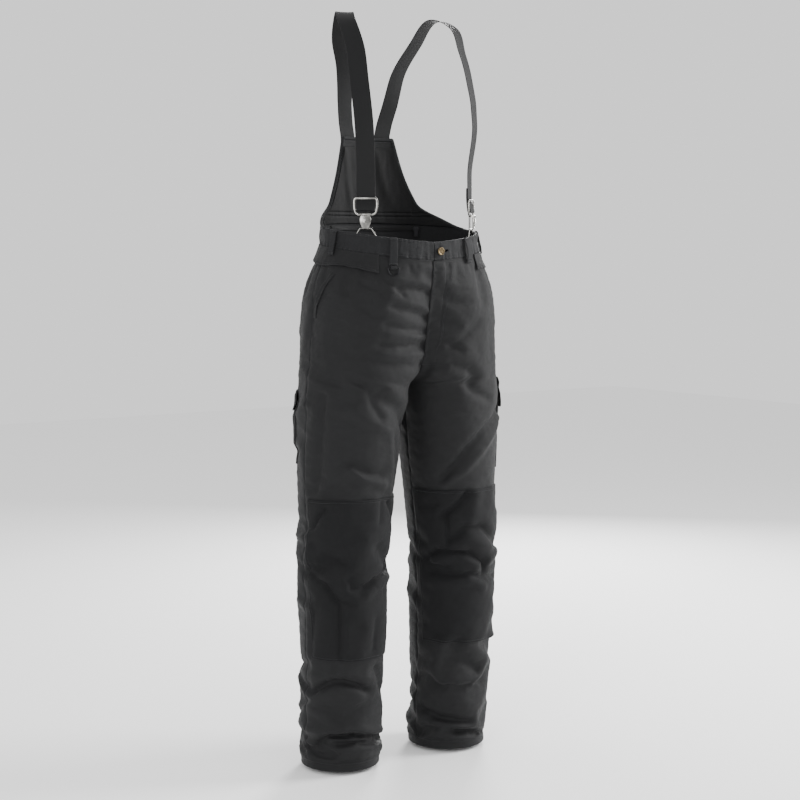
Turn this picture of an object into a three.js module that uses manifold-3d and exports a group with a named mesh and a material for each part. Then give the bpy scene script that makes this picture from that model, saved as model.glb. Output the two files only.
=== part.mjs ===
// Padded winter work trousers with a raised back panel and two clip-on braces.
// Millimetres, +Z up. The wearer faces -Y and the wearer's left is +X.
// The origin is the middle of the waist, level with the top of the waistband at the front.

import * as THREE from 'three';
import { mergeVertices } from 'three/addons/utils/BufferGeometryUtils.js';
import Module from 'manifold-3d';

const wasm = await Module();
wasm.setup();

// ---- Driving dimensions -------------------------------------------------

const WAIST_HALF_WIDTH = 180;
const WAIST_HALF_DEPTH = 122;
const HIP_HALF_WIDTH = 217;
const HEM_DROP = 1090; // from the waist to the bottom of the legs
const CROTCH_DROP = 290;
const LEG_SPREAD = 139; // from the middle plane to a leg's own axis, at the hem
const HEM_RADIUS = 81;

const CLOTH = 5; // padded shell: outer cloth, wadding and lining
const THIN_CLOTH = 1.8; // two layers of bare outer cloth
const SEAM = 0.4; // gap between two panels that are sewn edge to edge
const COVER_GAP = 1.1; // a patch over a curved panel
const LINING_GAP = 1.7; // a layer behind a curved panel

const BAND_HEIGHT = 38;
const BAND_CLOTH = 6;
const BAND_RISE = 41; // how much higher the waistband sits at the back
const HEM_HEIGHT = 22;

const PANEL_TOP = 220;
const PANEL_TOP_HALF_WIDTH = 63;
const PANEL_CLOTH = 3.4;
const LINING_CLOTH = 1.4;

const WEBBING_WIDTH = 38;
const WEBBING = 1.6;
const BRACE_TOP = 466;
const BRACE_FOOT_SPREAD = 44; // brace middle to middle plane, on the back panel

const KNEE_TOP_DROP = 516;
const KNEE_BOTTOM_DROP = 846;
const KNEE_CLOTH = 3;
const KNEE_GAP = 1.6;

const BELT_LOOP_WIDTH = 14;
const BELT_LOOP_CLOTH = 2;
const BELT_LOOP_STAND_OFF = 7.2; // leaves room for a belt
const LOOP_BELOW_BAND = 14;

const BUTTON_DIAMETER = 17;
const BUTTON_SHANK = 5;
const BUTTONHOLE_LENGTH = 20;

const FRAME_BESIDE_WEBBING = 6; // brace clip: the loop stands this far past the webbing
const FRAME_WIDTH = WEBBING_WIDTH + 2 * FRAME_BESIDE_WEBBING;
const FRAME_HEIGHT = 37;
const FRAME_WIRE = 4.2;
const FRAME_PLATE = 3.4;
const LEVER_WIDTH = 23.5;
const LEVER_LENGTH = 30;
const LEVER_PLATE = 2.2;
const PIN_RADIUS = 1;
const PIN_CLEARANCE = 0.15;
const RING_WIRE = 1.3; // radius of the wire of a triangular ring
const RING_HALF_WIDTH = WEBBING_WIDTH / 2 + 5;
const RING_CROWN = 11.5; // half the short side that the clip hooks on to
const CLIP_CLEARANCE = 0.35;

const ZIP_TOP = -46;
const ZIP_BOTTOM = -203;
const ZIP_TAPE_WIDTH = 14;

const DEGREE = Math.PI / 180;
const FRONT = 1;
const BACK = -1;
const LEFT = 1;
const RIGHT = -1;

// ---- Materials ----------------------------------------------------------

const cloth = (color) => new THREE.MeshStandardMaterial({ color, roughness: 0.72, metalness: 0 });
const metal = (color, roughness) => new THREE.MeshStandardMaterial({ color, roughness, metalness: 1 });
const SHELL = cloth(0x2c2d2f);
const SHELL_BAND = cloth(0x313235);
const KNEE_SHELL = cloth(0x27282a);
const LINING = cloth(0x202123);
const WEBBING_BLACK = cloth(0x232426);
const NICKEL = metal(0xc8c8c4, 0.2);
const DARK_METAL = metal(0x3a3a3c, 0.4);
const OLD_BRASS = metal(0x7a6a4e, 0.45);

// ---- The shape of the garment -------------------------------------------
// Each leg is a tube about its own upright axis, and above the crotch the two tubes run
// into one another at the middle plane. A station gives the tube's section at one height.

const station = (drop, axis, halfWidth, front, back, shift, soften) => (
  { z: -drop, axis, halfWidth, front, back, shift, soften }
);
const depth = WAIST_HALF_DEPTH;
const hipAxis = HIP_HALF_WIDTH * 0.378;
const hipHalf = HIP_HALF_WIDTH - hipAxis;
const toHem = (share) => CROTCH_DROP + (HEM_DROP - CROTCH_DROP) * share;
const BELOW_WAIST_SHARE = 12 / 37; // how far the side has run out to the hip, just below the band
const belowWaist = WAIST_HALF_WIDTH + (HIP_HALF_WIDTH - WAIST_HALF_WIDTH) * BELOW_WAIST_SHARE;
const STATIONS = [
  station(0, 0, WAIST_HALF_WIDTH, depth - 2, depth + 3, 0, 0),
  station(38, 14, belowWaist - 14, depth - 1, depth + 5, 0, 4),
  station(90, hipAxis * 0.74, hipHalf + 15, depth + 1, depth + 13, 0, 10),
  station(142, hipAxis, hipHalf, depth + 2, depth + 17, 0, 10),
  station(192, hipAxis + 7, hipHalf - 4, depth - 1, depth + 15, 0, 8),
  station(CROTCH_DROP - 52, hipAxis + 12, hipHalf - 5, depth - 5, depth + 8, 0, 5),
  station(CROTCH_DROP - 24, hipAxis + 19, hipHalf - 10, depth - 8, depth + 2, 0, 2),
  station(CROTCH_DROP, 114, 113, depth - 9, depth - 3, 2, 0),
  station(toHem(0.07), 122, 109, depth - 12, depth - 9, 4, 0),
  station(toHem(0.2), LEG_SPREAD - 10, 103, depth - 20, depth - 18, 6, 0),
  station(toHem(0.3), LEG_SPREAD - 5, 97, depth - 25, depth - 24, 8, 0),
  station(toHem(0.46), LEG_SPREAD + 2, 92, depth - 28, depth - 30, 10, 0),
  station(toHem(0.625), LEG_SPREAD + 1, HEM_RADIUS + 7, HEM_RADIUS + 9, HEM_RADIUS + 7, 12, 0),
  station(toHem(0.79), LEG_SPREAD + 1, HEM_RADIUS + 4, HEM_RADIUS + 6, HEM_RADIUS + 5, 16, 0),
  station(HEM_DROP, LEG_SPREAD, HEM_RADIUS, HEM_RADIUS + 2, HEM_RADIUS + 1, 23, 0),
];

// A smooth curve through the values that a list of knots gives, with x falling or rising.
function smoothThrough(knots, x, read) {
  const falling = knots[0].z > knots[knots.length - 1].z;
  const past = (k) => (falling ? k.z < x : k.z > x);
  let i = knots.findIndex(past);
  if (i === 0) {
    return read(knots[0]);
  }
  if (i < 0) {
    return read(knots[knots.length - 1]);
  }
  const a = knots[i - 1];
  const b = knots[i];
  const before = knots[Math.max(i - 2, 0)];
  const after = knots[Math.min(i + 1, knots.length - 1)];
  const slopeA = (read(b) - read(before)) / (b.z - before.z);
  const slopeB = (read(after) - read(a)) / (after.z - a.z);
  const span = b.z - a.z;
  const s = (x - a.z) / span;
  const s2 = s * s;
  const s3 = s2 * s;
  return (2 * s3 - 3 * s2 + 1) * read(a) + (s3 - 2 * s2 + s) * span * slopeA
    + (3 * s2 - 2 * s3) * read(b) + (s3 - s2) * span * slopeB;
}

function section(z) {
  const at = (key) => smoothThrough(STATIONS, z, (k) => k[key]);
  return {
    axis: at('axis'),
    halfWidth: at('halfWidth'),
    front: at('front'),
    back: at('back'),
    shift: at('shift'),
    soften: at('soften'),
  };
}

const SOFTENED_REACH = 80; // the middle crease is rounded off this far out

// A point of the garment: side is LEFT or RIGHT, angle runs from 0 at the outer side,
// positive over the front and negative over the back, and inside is the depth under the skin.
function skin(side, angle, z, inside) {
  const s = section(z);
  const half = s.halfWidth - inside;
  const reach = (angle > 0 ? s.front : s.back) - inside;
  const x = s.axis + half * Math.cos(angle);
  const soft = s.soften * Math.max(0, 1 - x / SOFTENED_REACH) ** 2;
  const cosine = Math.min(1, Math.max(-1, (Math.hypot(x, soft) - s.axis) / half));
  const y = s.shift - Math.sign(angle) * reach * Math.sqrt(1 - cosine * cosine);
  return new THREE.Vector3(side * x, y, z);
}

// The angle at which the tube meets the middle plane, or its inner side below the crotch.
function middleAngle(z) {
  const s = section(z);
  return Math.acos(Math.max(-1, Math.min(1, -s.axis / s.halfWidth)));
}

// The same surface by share: 0 on the middle line, 1 at the outer side.
const onFace = (face, side, share, z, inside) => (
  skin(side, face * Math.max(1e-4, (1 - share) * middleAngle(z)), z, inside)
);

// Height of the waistband's top edge, by how far round from the front it is.
const bandTop = (round) => BAND_RISE * Math.sin(round / 2) ** 1.2;
const roundOf = (face, share) => (face === FRONT ? share * 90 : 180 - share * 90) * DEGREE;

// ---- Solids -------------------------------------------------------------

function volumeSign(positions, index) {
  const a = new THREE.Vector3();
  const b = new THREE.Vector3();
  const c = new THREE.Vector3();
  let sum = 0;
  for (let i = 0; i < index.length; i += 3) {
    a.fromArray(positions, index[i] * 3);
    b.fromArray(positions, index[i + 1] * 3);
    c.fromArray(positions, index[i + 2] * 3);
    sum += a.dot(b.cross(c));
  }
  return Math.sign(sum);
}

function closedMesh(positions, index) {
  const facing = volumeSign(positions, index) > 0 ? index : index.slice().reverse();
  const g = new THREE.BufferGeometry();
  g.setAttribute('position', new THREE.Float32BufferAttribute(positions, 3));
  g.setIndex(facing);
  return g;
}

// A sheet with a thickness: outer and inner give its two faces for u and v from 0 to 1.
// A sheet that is closed round has its last column joined to its first.
function sheet(columns, rows, outer, inner, closedRound = false) {
  const positions = [];
  const across = closedRound ? columns : columns + 1;
  for (const face of [outer, inner]) {
    for (let j = 0; j <= rows; j += 1) {
      for (let i = 0; i < across; i += 1) {
        positions.push(...face(i / columns, j / rows).toArray());
      }
    }
  }
  const layer = across * (rows + 1);
  const at = (i, j, k) => k * layer + j * across + (i % across);
  const index = [];
  const quad = (a, b, c, d) => index.push(a, b, c, a, c, d);
  for (let j = 0; j < rows; j += 1) {
    for (let i = 0; i < columns; i += 1) {
      quad(at(i, j, 0), at(i + 1, j, 0), at(i + 1, j + 1, 0), at(i, j + 1, 0));
      quad(at(i, j, 1), at(i, j + 1, 1), at(i + 1, j + 1, 1), at(i + 1, j, 1));
    }
  }
  for (let i = 0; i < columns; i += 1) {
    quad(at(i, 0, 0), at(i, 0, 1), at(i + 1, 0, 1), at(i + 1, 0, 0));
    quad(at(i, rows, 0), at(i + 1, rows, 0), at(i + 1, rows, 1), at(i, rows, 1));
  }
  for (let j = 0; !closedRound && j < rows; j += 1) {
    quad(at(0, j, 0), at(0, j + 1, 0), at(0, j + 1, 1), at(0, j, 1));
    quad(at(columns, j, 0), at(columns, j, 1), at(columns, j + 1, 1), at(columns, j + 1, 0));
  }
  return closedMesh(positions, index);
}

// A closed loop of round wire about a flat curve; normal is square to the curve's plane.
function wireLoop(curve, normal, radius, steps, sides = 8) {
  const positions = [];
  for (let i = 0; i < steps; i += 1) {
    const p = curve.getPointAt(i / steps);
    const out = curve.getTangentAt(i / steps).cross(normal).normalize();
    for (let j = 0; j < sides; j += 1) {
      const a = (j / sides) * 2 * Math.PI;
      const q = p.clone().addScaledVector(out, radius * Math.cos(a));
      positions.push(...q.addScaledVector(normal, radius * Math.sin(a)).toArray());
    }
  }
  const at = (i, j) => (i % steps) * sides + (j % sides);
  const index = [];
  for (let i = 0; i < steps; i += 1) {
    for (let j = 0; j < sides; j += 1) {
      index.push(at(i, j), at(i + 1, j), at(i + 1, j + 1));
      index.push(at(i, j), at(i + 1, j + 1), at(i, j + 1));
    }
  }
  return closedMesh(positions, index);
}

// An outline in (y, z) pushed out along x, centred on x = 0.
function acrossX(outline, width, holes = []) {
  const shape = new THREE.Shape(outline.map(([y, z]) => new THREE.Vector2(y, z)));
  holes.forEach(([y, z, r]) => {
    shape.holes.push(new THREE.Path().absarc(y, z, r, 0, 2 * Math.PI, true));
  });
  const g = new THREE.ExtrudeGeometry(shape, { depth: width, bevelEnabled: false, curveSegments: 6 });
  g.translate(0, 0, -width / 2);
  const turn = new THREE.Matrix4().makeBasis(
    new THREE.Vector3(0, 1, 0),
    new THREE.Vector3(0, 0, 1),
    new THREE.Vector3(1, 0, 0),
  );
  return g.applyMatrix4(turn);
}

// A thick line in (y, z): the outline of a strip of the given thickness along the points.
function strip(points, thickness) {
  const half = thickness / 2;
  const sides = [half, -half].map((offset) => points.map(([y, z], i) => {
    const [y0, z0] = points[Math.max(i - 1, 0)];
    const [y1, z1] = points[Math.min(i + 1, points.length - 1)];
    const length = Math.hypot(y1 - y0, z1 - z0);
    return [y - ((z1 - z0) / length) * offset, z + ((y1 - y0) / length) * offset];
  }));
  return [...sides[0], ...sides[1].reverse()];
}

const arcPoints = (y, z, r, from, to, steps) => Array.from({ length: steps + 1 }, (_, i) => {
  const a = (from + ((to - from) * i) / steps) * DEGREE;
  return [y + r * Math.cos(a), z + r * Math.sin(a)];
});

function solid(geometry) {
  const bare = geometry.index ? geometry.toNonIndexed() : geometry.clone();
  bare.deleteAttribute('normal');
  bare.deleteAttribute('uv');
  const merged = mergeVertices(bare, 1e-4);
  return new wasm.Manifold(new wasm.Mesh({
    numProp: 3,
    vertProperties: merged.attributes.position.array,
    triVerts: new Uint32Array(merged.index.array),
  }));
}

function geometryOf(body) {
  const mesh = body.getMesh();
  const g = new THREE.BufferGeometry();
  g.setAttribute('position', new THREE.BufferAttribute(new Float32Array(mesh.vertProperties), 3));
  g.setIndex(new THREE.BufferAttribute(new Uint32Array(mesh.triVerts), 1));
  return g;
}

const join = (...parts) => geometryOf(parts.map(solid).reduce((a, b) => a.add(b)));
const cut = (part, ...tools) => geometryOf(tools.map(solid).reduce((a, b) => a.subtract(b), solid(part)));

function rodAlongX(radius, length, y, z, sides = 16) {
  const g = new THREE.CylinderGeometry(radius, radius, length, sides);
  g.rotateZ(Math.PI / 2);
  return g.translate(0, y, z);
}

const box = (x0, x1, y0, y1, z0, z1) => new THREE.BoxGeometry(x1 - x0, y1 - y0, z1 - z0)
  .translate((x0 + x1) / 2, (y0 + y1) / 2, (z0 + z1) / 2);

const lerp = THREE.MathUtils.lerp;
const garment = new THREE.Group();

function add(name, geometry, material, parent = garment) {
  const mesh = new THREE.Mesh(geometry, material);
  mesh.name = name;
  parent.add(mesh);
  return mesh;
}

const sideName = (side) => (side === LEFT ? 'left' : 'right');

// ---- Legs, hems and waistband -------------------------------------------

const PANEL_COLUMNS = 12;
const UPPER_ROWS = 9;
const LOWER_ROWS = 10;
const SHARE_GAP = 0.0011; // keeps a seam's gap beside the middle line and the outer side

// Rows crowd towards the crotch, where the panels' inner edge turns under.
function rowHeight(v, top) {
  const split = UPPER_ROWS / (UPPER_ROWS + LOWER_ROWS);
  const bottom = -HEM_DROP + HEM_HEIGHT + SEAM;
  if (v <= split) {
    return lerp(top, -CROTCH_DROP, 1 - (1 - v / split) ** 1.6);
  }
  return lerp(-CROTCH_DROP, bottom, (v - split) / (1 - split));
}

function legPanel(face, side) {
  const point = (inside) => (u, v) => {
    const share = lerp(SHARE_GAP, 1 - SHARE_GAP, u);
    const top = bandTop(roundOf(face, share)) - BAND_HEIGHT - SEAM;
    return onFace(face, side, share, rowHeight(v, top), inside);
  };
  return sheet(PANEL_COLUMNS, UPPER_ROWS + LOWER_ROWS, point(0), point(CLOTH));
}

function hemRing(side) {
  const point = (inside) => (u, v) => {
    const angle = (u * 360 - 180 + 0.01) * DEGREE;
    return skin(side, angle, lerp(-HEM_DROP + HEM_HEIGHT, -HEM_DROP, v), inside);
  };
  return sheet(2 * PANEL_COLUMNS, 1, point(-0.4), point(CLOTH + 1), true);
}

function waistbandPart(face, from, to, side, columns, outside, inside) {
  const point = (under) => (u, v) => {
    const share = lerp(from, to, u);
    const top = bandTop(roundOf(face, Math.abs(share)));
    const bottom = top - BAND_HEIGHT;
    return onFace(face, side || Math.sign(share), Math.abs(share), lerp(top, bottom, v), under);
  };
  return sheet(columns, 2, point(outside), point(inside));
}

for (const side of [RIGHT, LEFT]) {
  add(`front_leg_${sideName(side)}`, legPanel(FRONT, side), SHELL);
  add(`back_leg_${sideName(side)}`, legPanel(BACK, side), SHELL);
  add(`hem_${sideName(side)}`, hemRing(side), SHELL);
}

const BAND_OUT = -0.8;
const BAND_IN = BAND_OUT + BAND_CLOTH;
const UNDERLAP_SHARE = 0.17; // the right end of the band runs on behind the left
const UNDERLAP_IN = BAND_IN + 0.8;
const BUTTON_ASIDE = 14; // from the middle of the front
const buttonSection = section(-BAND_HEIGHT / 2);
const buttonAngle = Math.acos((BUTTON_ASIDE - buttonSection.axis) / buttonSection.halfWidth);
const buttonAt = skin(LEFT, buttonAngle, -BAND_HEIGHT / 2, 0);
const buttonTurn = Math.atan((BUTTON_ASIDE / WAIST_HALF_WIDTH ** 2) * (depth ** 2 / -buttonAt.y));

function throughBand(radius, length) {
  const g = new THREE.CylinderGeometry(radius, radius, length, 20);
  return g.rotateZ(buttonTurn).translate(buttonAt.x, buttonAt.y, buttonAt.z);
}

const rightBand = waistbandPart(FRONT, SHARE_GAP, 1 - SHARE_GAP, RIGHT, 14, BAND_OUT, BAND_IN);
const underlap = waistbandPart(FRONT, -0.06, UNDERLAP_SHARE, 0, 6, UNDERLAP_IN, UNDERLAP_IN + 3);
const underlapRoot = waistbandPart(FRONT, -0.06, -0.02, 0, 2, BAND_IN - 1, UNDERLAP_IN + 2);
const rightBandWhole = join(rightBand, underlap, underlapRoot);
const tackHole = throughBand(2.4, 60);
add('waistband_front_right', cut(rightBandWhole, tackHole), SHELL_BAND);

const leftBand = waistbandPart(FRONT, SHARE_GAP, 1 - SHARE_GAP, LEFT, 14, BAND_OUT, BAND_IN);
const slot = box(-5, BUTTONHOLE_LENGTH - 5, -20, 20, -BUTTON_SHANK / 2 - 0.6, BUTTON_SHANK / 2 + 0.6)
  .rotateZ(buttonTurn).translate(buttonAt.x, buttonAt.y, buttonAt.z);
add('waistband_front_left', cut(leftBand, slot), SHELL_BAND);

const backBandEnd = 1 - SHARE_GAP;
add(
  'waistband_back',
  waistbandPart(BACK, -backBandEnd, backBandEnd, 0, 28, BAND_OUT, BAND_IN),
  SHELL_BAND,
);

// ---- Button -------------------------------------------------------------

function turnedPiece(profile, segments = 24) {
  return new THREE.LatheGeometry(profile.map(([r, y]) => new THREE.Vector2(r, y)), segments);
}

const CAP_STAND = 2.2; // from the band's face to the back of the cap
const capProfile = [
  [0, 4.6 + CAP_STAND], [5.4, 4.3 + CAP_STAND], [BUTTON_DIAMETER / 2 - 0.6, 3.4 + CAP_STAND],
  [BUTTON_DIAMETER / 2, 2.4 + CAP_STAND], [BUTTON_DIAMETER / 2 - 1, 0.9 + CAP_STAND],
  [BUTTON_SHANK / 2 - 0.3, 0.6 + CAP_STAND], [BUTTON_SHANK / 2 - 0.3, -4.9], [0, -4.9],
];
const button = add('waist_button', turnedPiece(capProfile.reverse()), OLD_BRASS);
button.position.copy(buttonAt);
button.rotation.z = Math.PI + buttonTurn;
const tackProfile = [[0, -5.3], [1.6, -5.3], [1.6, -10.9], [5, -11], [5, -12.2], [0, -12.4]];
const tack = add('button_tack', turnedPiece(tackProfile.reverse()), OLD_BRASS);
tack.position.copy(button.position);
tack.rotation.copy(button.rotation);

// ---- Fly ----------------------------------------------------------------

// The zip lies on a straight line behind the fly, leaning back towards the crotch.
const ZIP_TOP_Y = -103;
const ZIP_BOTTOM_Y = -79;
const zipLine = (z) => lerp(ZIP_TOP_Y, ZIP_BOTTOM_Y, (ZIP_TOP - z) / (ZIP_TOP - ZIP_BOTTOM));
const CHAIN_HALF = 2.6;
const CHAIN_THICK = 2.4;
const TAPE_THICK = 0.9;
const FLY_WIDTH = 40;
const SLIDER_ROOM = 6;

// The layer of cloth between the front panel and the zip, on one side of the middle.
function flyLayer(side, from, to, frontInside, backOffset, rows = 8) {
  const z = (v) => lerp(ZIP_TOP + 2, ZIP_BOTTOM - 4, v);
  const x = (u) => lerp(from, to, u);
  const behindPanel = (u, v) => {
    const s = section(z(v));
    const cosine = (Math.hypot(x(u), s.soften) - s.axis) / (s.halfWidth - frontInside);
    const y = s.shift - (s.front - frontInside) * Math.sqrt(Math.max(0, 1 - cosine * cosine));
    return new THREE.Vector3(side * x(u), y, z(v));
  };
  const alongZip = (u, v) => new THREE.Vector3(side * x(u), zipLine(z(v)) + backOffset, z(v));
  return sheet(4, rows, behindPanel, alongZip);
}

function flatStrip(x0, x1, offset0, offset1, top = ZIP_TOP, bottom = ZIP_BOTTOM) {
  const face = (offset) => (u, v) => {
    const z = lerp(top, bottom, v);
    return new THREE.Vector3(lerp(x0, x1, u), zipLine(z) + offset, z);
  };
  return sheet(1, 1, face(offset0), face(offset1));
}

const PANEL_BACK = CLOTH + LINING_GAP;
add('fly_facing', flyLayer(LEFT, SLIDER_ROOM, FLY_WIDTH, PANEL_BACK, -TAPE_THICK / 2 - 0.4), SHELL);
const shieldRoot = flyLayer(RIGHT, ZIP_TAPE_WIDTH + 1, FLY_WIDTH, PANEL_BACK, 1);
const shieldLeaf = flatStrip(-FLY_WIDTH, ZIP_TAPE_WIDTH + 4, CHAIN_THICK / 2 + 0.4, CHAIN_THICK / 2 + 3);
const shieldEdge = flatStrip(-FLY_WIDTH, -ZIP_TAPE_WIDTH - 1, 0.4, CHAIN_THICK / 2 + 2);
add('fly_shield', join(shieldRoot, shieldEdge, shieldLeaf), SHELL);
for (const side of [RIGHT, LEFT]) {
  const tape = flatStrip(side * 0.15, side * ZIP_TAPE_WIDTH, -TAPE_THICK / 2, TAPE_THICK / 2);
  const teeth = flatStrip(side * 0.15, side * CHAIN_HALF, -CHAIN_THICK / 2, CHAIN_THICK / 2);
  add(`zip_tape_${sideName(side)}`, join(tape, teeth), LINING);
}

const SLIDER_LENGTH = 9;
const sliderTop = ZIP_TOP - 1;
const sliderFront = -CHAIN_THICK / 2 - 0.3;
const sliderPlate = flatStrip(-4.2, 4.2, sliderFront - 1.1, sliderFront, sliderTop, sliderTop - SLIDER_LENGTH);
const sliderCheeks = [-1, 1].map((s) => flatStrip(
  s * (CHAIN_HALF + 0.3), s * 4.2, sliderFront - 0.5, -TAPE_THICK / 2 - 0.3,
  sliderTop, sliderTop - SLIDER_LENGTH,
));
const sliderLug = flatStrip(
  -0.9, 0.9, sliderFront - 2.6, sliderFront - 0.6, sliderTop - 1.5, sliderTop - 4.5,
);
add('fly_zip_slider', join(sliderPlate, ...sliderCheeks, sliderLug), DARK_METAL);
const pullPlate = flatStrip(
  -2.6, 2.6, sliderFront - 2.4, sliderFront - 1.5, sliderTop - 0.4, sliderTop - 22,
);
const pullWindow = flatStrip(
  -1.3, 1.3, sliderFront - 4, sliderFront - 0.2, sliderTop - 1.1, sliderTop - 5.4,
);
add('fly_zip_pull', cut(pullPlate, pullWindow), DARK_METAL);

// ---- Patches over the cloth: pockets, flaps and facings -----------------

// A patch lies over the skin between two angles and two heights. lift gives its inner
// face's distance from the skin, and thick its thickness, each for u and v from 0 to 1.
function patch(side, angle, height, lift, thick, columns, rows) {
  const place = (out) => (u, v) => skin(side, angle(u, v) * DEGREE, height(u, v), -out(u, v));
  return sheet(columns, rows, place((u, v) => lift(u, v) + thick(u, v)), place(lift));
}

const even = (a, b) => (u) => lerp(a, b, u);
const down = (top, bottom) => (u, v) => lerp(top, bottom, v);
const always = (value) => () => value;

for (const side of [RIGHT, LEFT]) {
  const name = sideName(side);
  const taper = (u, v) => lerp(lerp(6, 174, u), lerp(13, 167, u), v);
  add(
    `knee_pocket_${name}`,
    patch(
      side,
      taper,
      down(-KNEE_TOP_DROP, -KNEE_BOTTOM_DROP),
      always(KNEE_GAP),
      always(KNEE_CLOTH),
      12,
      7,
    ),
    KNEE_SHELL,
  );
  add(
    `hip_flap_${name}`,
    patch(
      side,
      even(57, -38),
      (u, v) => bandTop((90 - lerp(57, -38, u)) * DEGREE) - BAND_HEIGHT - SEAM - 1 - v * 34,
      (u, v) => COVER_GAP + 2.4 * v,
      always(THIN_CLOTH),
      10,
      2,
    ),
    SHELL,
  );
  const mouthTop = { angle: 17, z: -66 };
  const mouthFoot = { angle: 1, z: -150 };
  add(
    `hand_pocket_facing_${name}`,
    patch(
      side,
      (u, v) => lerp(mouthTop.angle, mouthFoot.angle, Math.min(1, v * 1.4)) + 4.5 * u,
      (u, v) => lerp(mouthTop.z, mouthFoot.z, v) - 5 * u,
      always(COVER_GAP),
      always(THIN_CLOTH),
      1,
      6,
    ),
    SHELL,
  );
  add(
    `hand_pocket_bag_${name}`,
    patch(
      side,
      even(4, 52),
      (u, v) => lerp(-60, -235 + 30 * (1 - u), v),
      always(-PANEL_BACK - 2.4),
      always(2.4),
      6,
      4,
    ),
    LINING,
  );
}

// A thigh pocket with a flap: the bag swells towards its foot and the flap hangs over its mouth.
const BAG_BELOW_FLAP_SEAM = 20;
const FLAP_CLIMB = 12; // drop in which the flap rises to the bag's height
const BAG_CLOTH = 2.4;
const BAG_SWELL = 4;
const FLAP_CLOTH = 2.6;
const FLAP_GAP = 0.6;

function thighPocket(name, flapName, side, angles, top, flapDrop, foot) {
  const bagTop = top - BAG_BELOW_FLAP_SEAM;
  const edge = (u) => Math.min(1, 8 * u, 8 * (1 - u));
  const swell = (v) => BAG_SWELL * Math.sin(Math.PI * Math.min(1, v * 1.15)) ** 1.5;
  add(
    name,
    patch(
      side,
      even(angles[0], angles[1]),
      down(bagTop, foot),
      always(COVER_GAP),
      (u, v) => BAG_CLOTH + edge(u) * swell(v),
      8,
      6,
    ),
    SHELL,
  );
  const overBag = (v) => {
    const z = top - v * flapDrop;
    const toBag = Math.min(1, (top - z) / FLAP_CLIMB);
    const onBag = Math.max(0, (bagTop - z) / (bagTop - foot));
    return COVER_GAP + toBag * (BAG_CLOTH + FLAP_GAP) + swell(onBag);
  };
  add(
    flapName,
    patch(
      side,
      even(angles[0] + 1.5, angles[1] - 1.5),
      down(top, top - flapDrop),
      (u, v) => overBag(v),
      always(FLAP_CLOTH),
      8,
      5,
    ),
    SHELL,
  );
}

thighPocket('thigh_pocket_left', 'thigh_pocket_flap_left', LEFT, [32, -52], -284, 67, -480);
thighPocket('tool_pocket_right', 'tool_pocket_flap_right', RIGHT, [-28, -78], -301, 44, -452);

for (const side of [RIGHT, LEFT]) {
  add(
    `back_pocket_${sideName(side)}`,
    patch(
      side,
      (u, v) => -lerp(44, 96, u),
      (u, v) => lerp(-84, -222 - 12 * Math.sin(Math.PI * u), v),
      always(COVER_GAP),
      always(2.2),
      6,
      4,
    ),
    SHELL,
  );
}

// ---- Belt loops and the D-ring ------------------------------------------

function beltLoop(face, side, round, below, footLift) {
  const share = face === FRONT ? round / 90 : (180 - round) / 90;
  const top = bandTop(round * DEGREE) + 1;
  const bottom = top - BAND_HEIGHT - below - 1;
  const stand = (v) => 1.2 + BELT_LOOP_STAND_OFF * Math.sin(Math.PI * v) ** 0.6 + footLift * v * v;
  const girth = WAIST_HALF_WIDTH * 90 * DEGREE * 0.86;
  const place = (out) => (u, v) => {
    const s = share + ((u - 0.5) * BELT_LOOP_WIDTH) / girth;
    const signed = side === 0 ? Math.sign(s) || 1 : side;
    return onFace(face, signed, Math.abs(s), lerp(top, bottom, v), -out(v));
  };
  return sheet(2, 7, place((v) => stand(v) + BELT_LOOP_CLOTH), place(stand));
}

const RING_LOOP_ROUND = 30;
const RING_LOOP_BELOW = 20;
const RING_LOOP_LIFT = 2.2;
const OVER_FLAP_LIFT = 3.4; // the side loops are sewn over the hip flaps
const BELT_LOOPS = [
  ['belt_loop_front_left', FRONT, LEFT, 30, LOOP_BELOW_BAND, 0],
  ['belt_loop_side_right', FRONT, RIGHT, 78, LOOP_BELOW_BAND, OVER_FLAP_LIFT],
  ['belt_loop_side_left', FRONT, LEFT, 78, LOOP_BELOW_BAND, OVER_FLAP_LIFT],
  ['belt_loop_back_right', BACK, RIGHT, 132, LOOP_BELOW_BAND, 0],
  ['belt_loop_back_left', BACK, LEFT, 132, LOOP_BELOW_BAND, 0],
  ['belt_loop_back_middle', BACK, 0, 180, LOOP_BELOW_BAND, 0],
];
for (const [name, face, side, round, below, lift] of BELT_LOOPS) {
  add(name, beltLoop(face, side, round, below, lift), SHELL_BAND);
}

// The front right loop runs on below the band and holds the D-ring in a sewn tunnel.
const RING_BAR = 1.5;
const TUNNEL_HOLE = RING_BAR + 0.4;
const TUNNEL_WALL = 1.6;
const ringLoopFoot = bandTop(RING_LOOP_ROUND * DEGREE) - BAND_HEIGHT - RING_LOOP_BELOW;
const ringShare = RING_LOOP_ROUND / 90;
const ringSeat = onFace(FRONT, RIGHT, ringShare, ringLoopFoot, 0);
const ringBeside = onFace(FRONT, RIGHT, ringShare + 0.01, ringLoopFoot, 0);
const ringTurn = Math.atan2(ringSeat.y - ringBeside.y, ringSeat.x - ringBeside.x);
const ringFrame = new THREE.Group();
ringFrame.position.copy(ringSeat);
ringFrame.rotation.z = ringTurn;
garment.add(ringFrame);
const tunnelY = -(TUNNEL_HOLE + TUNNEL_WALL + 2.2 + RING_LOOP_LIFT);
const tunnelZ = -2;

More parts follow.
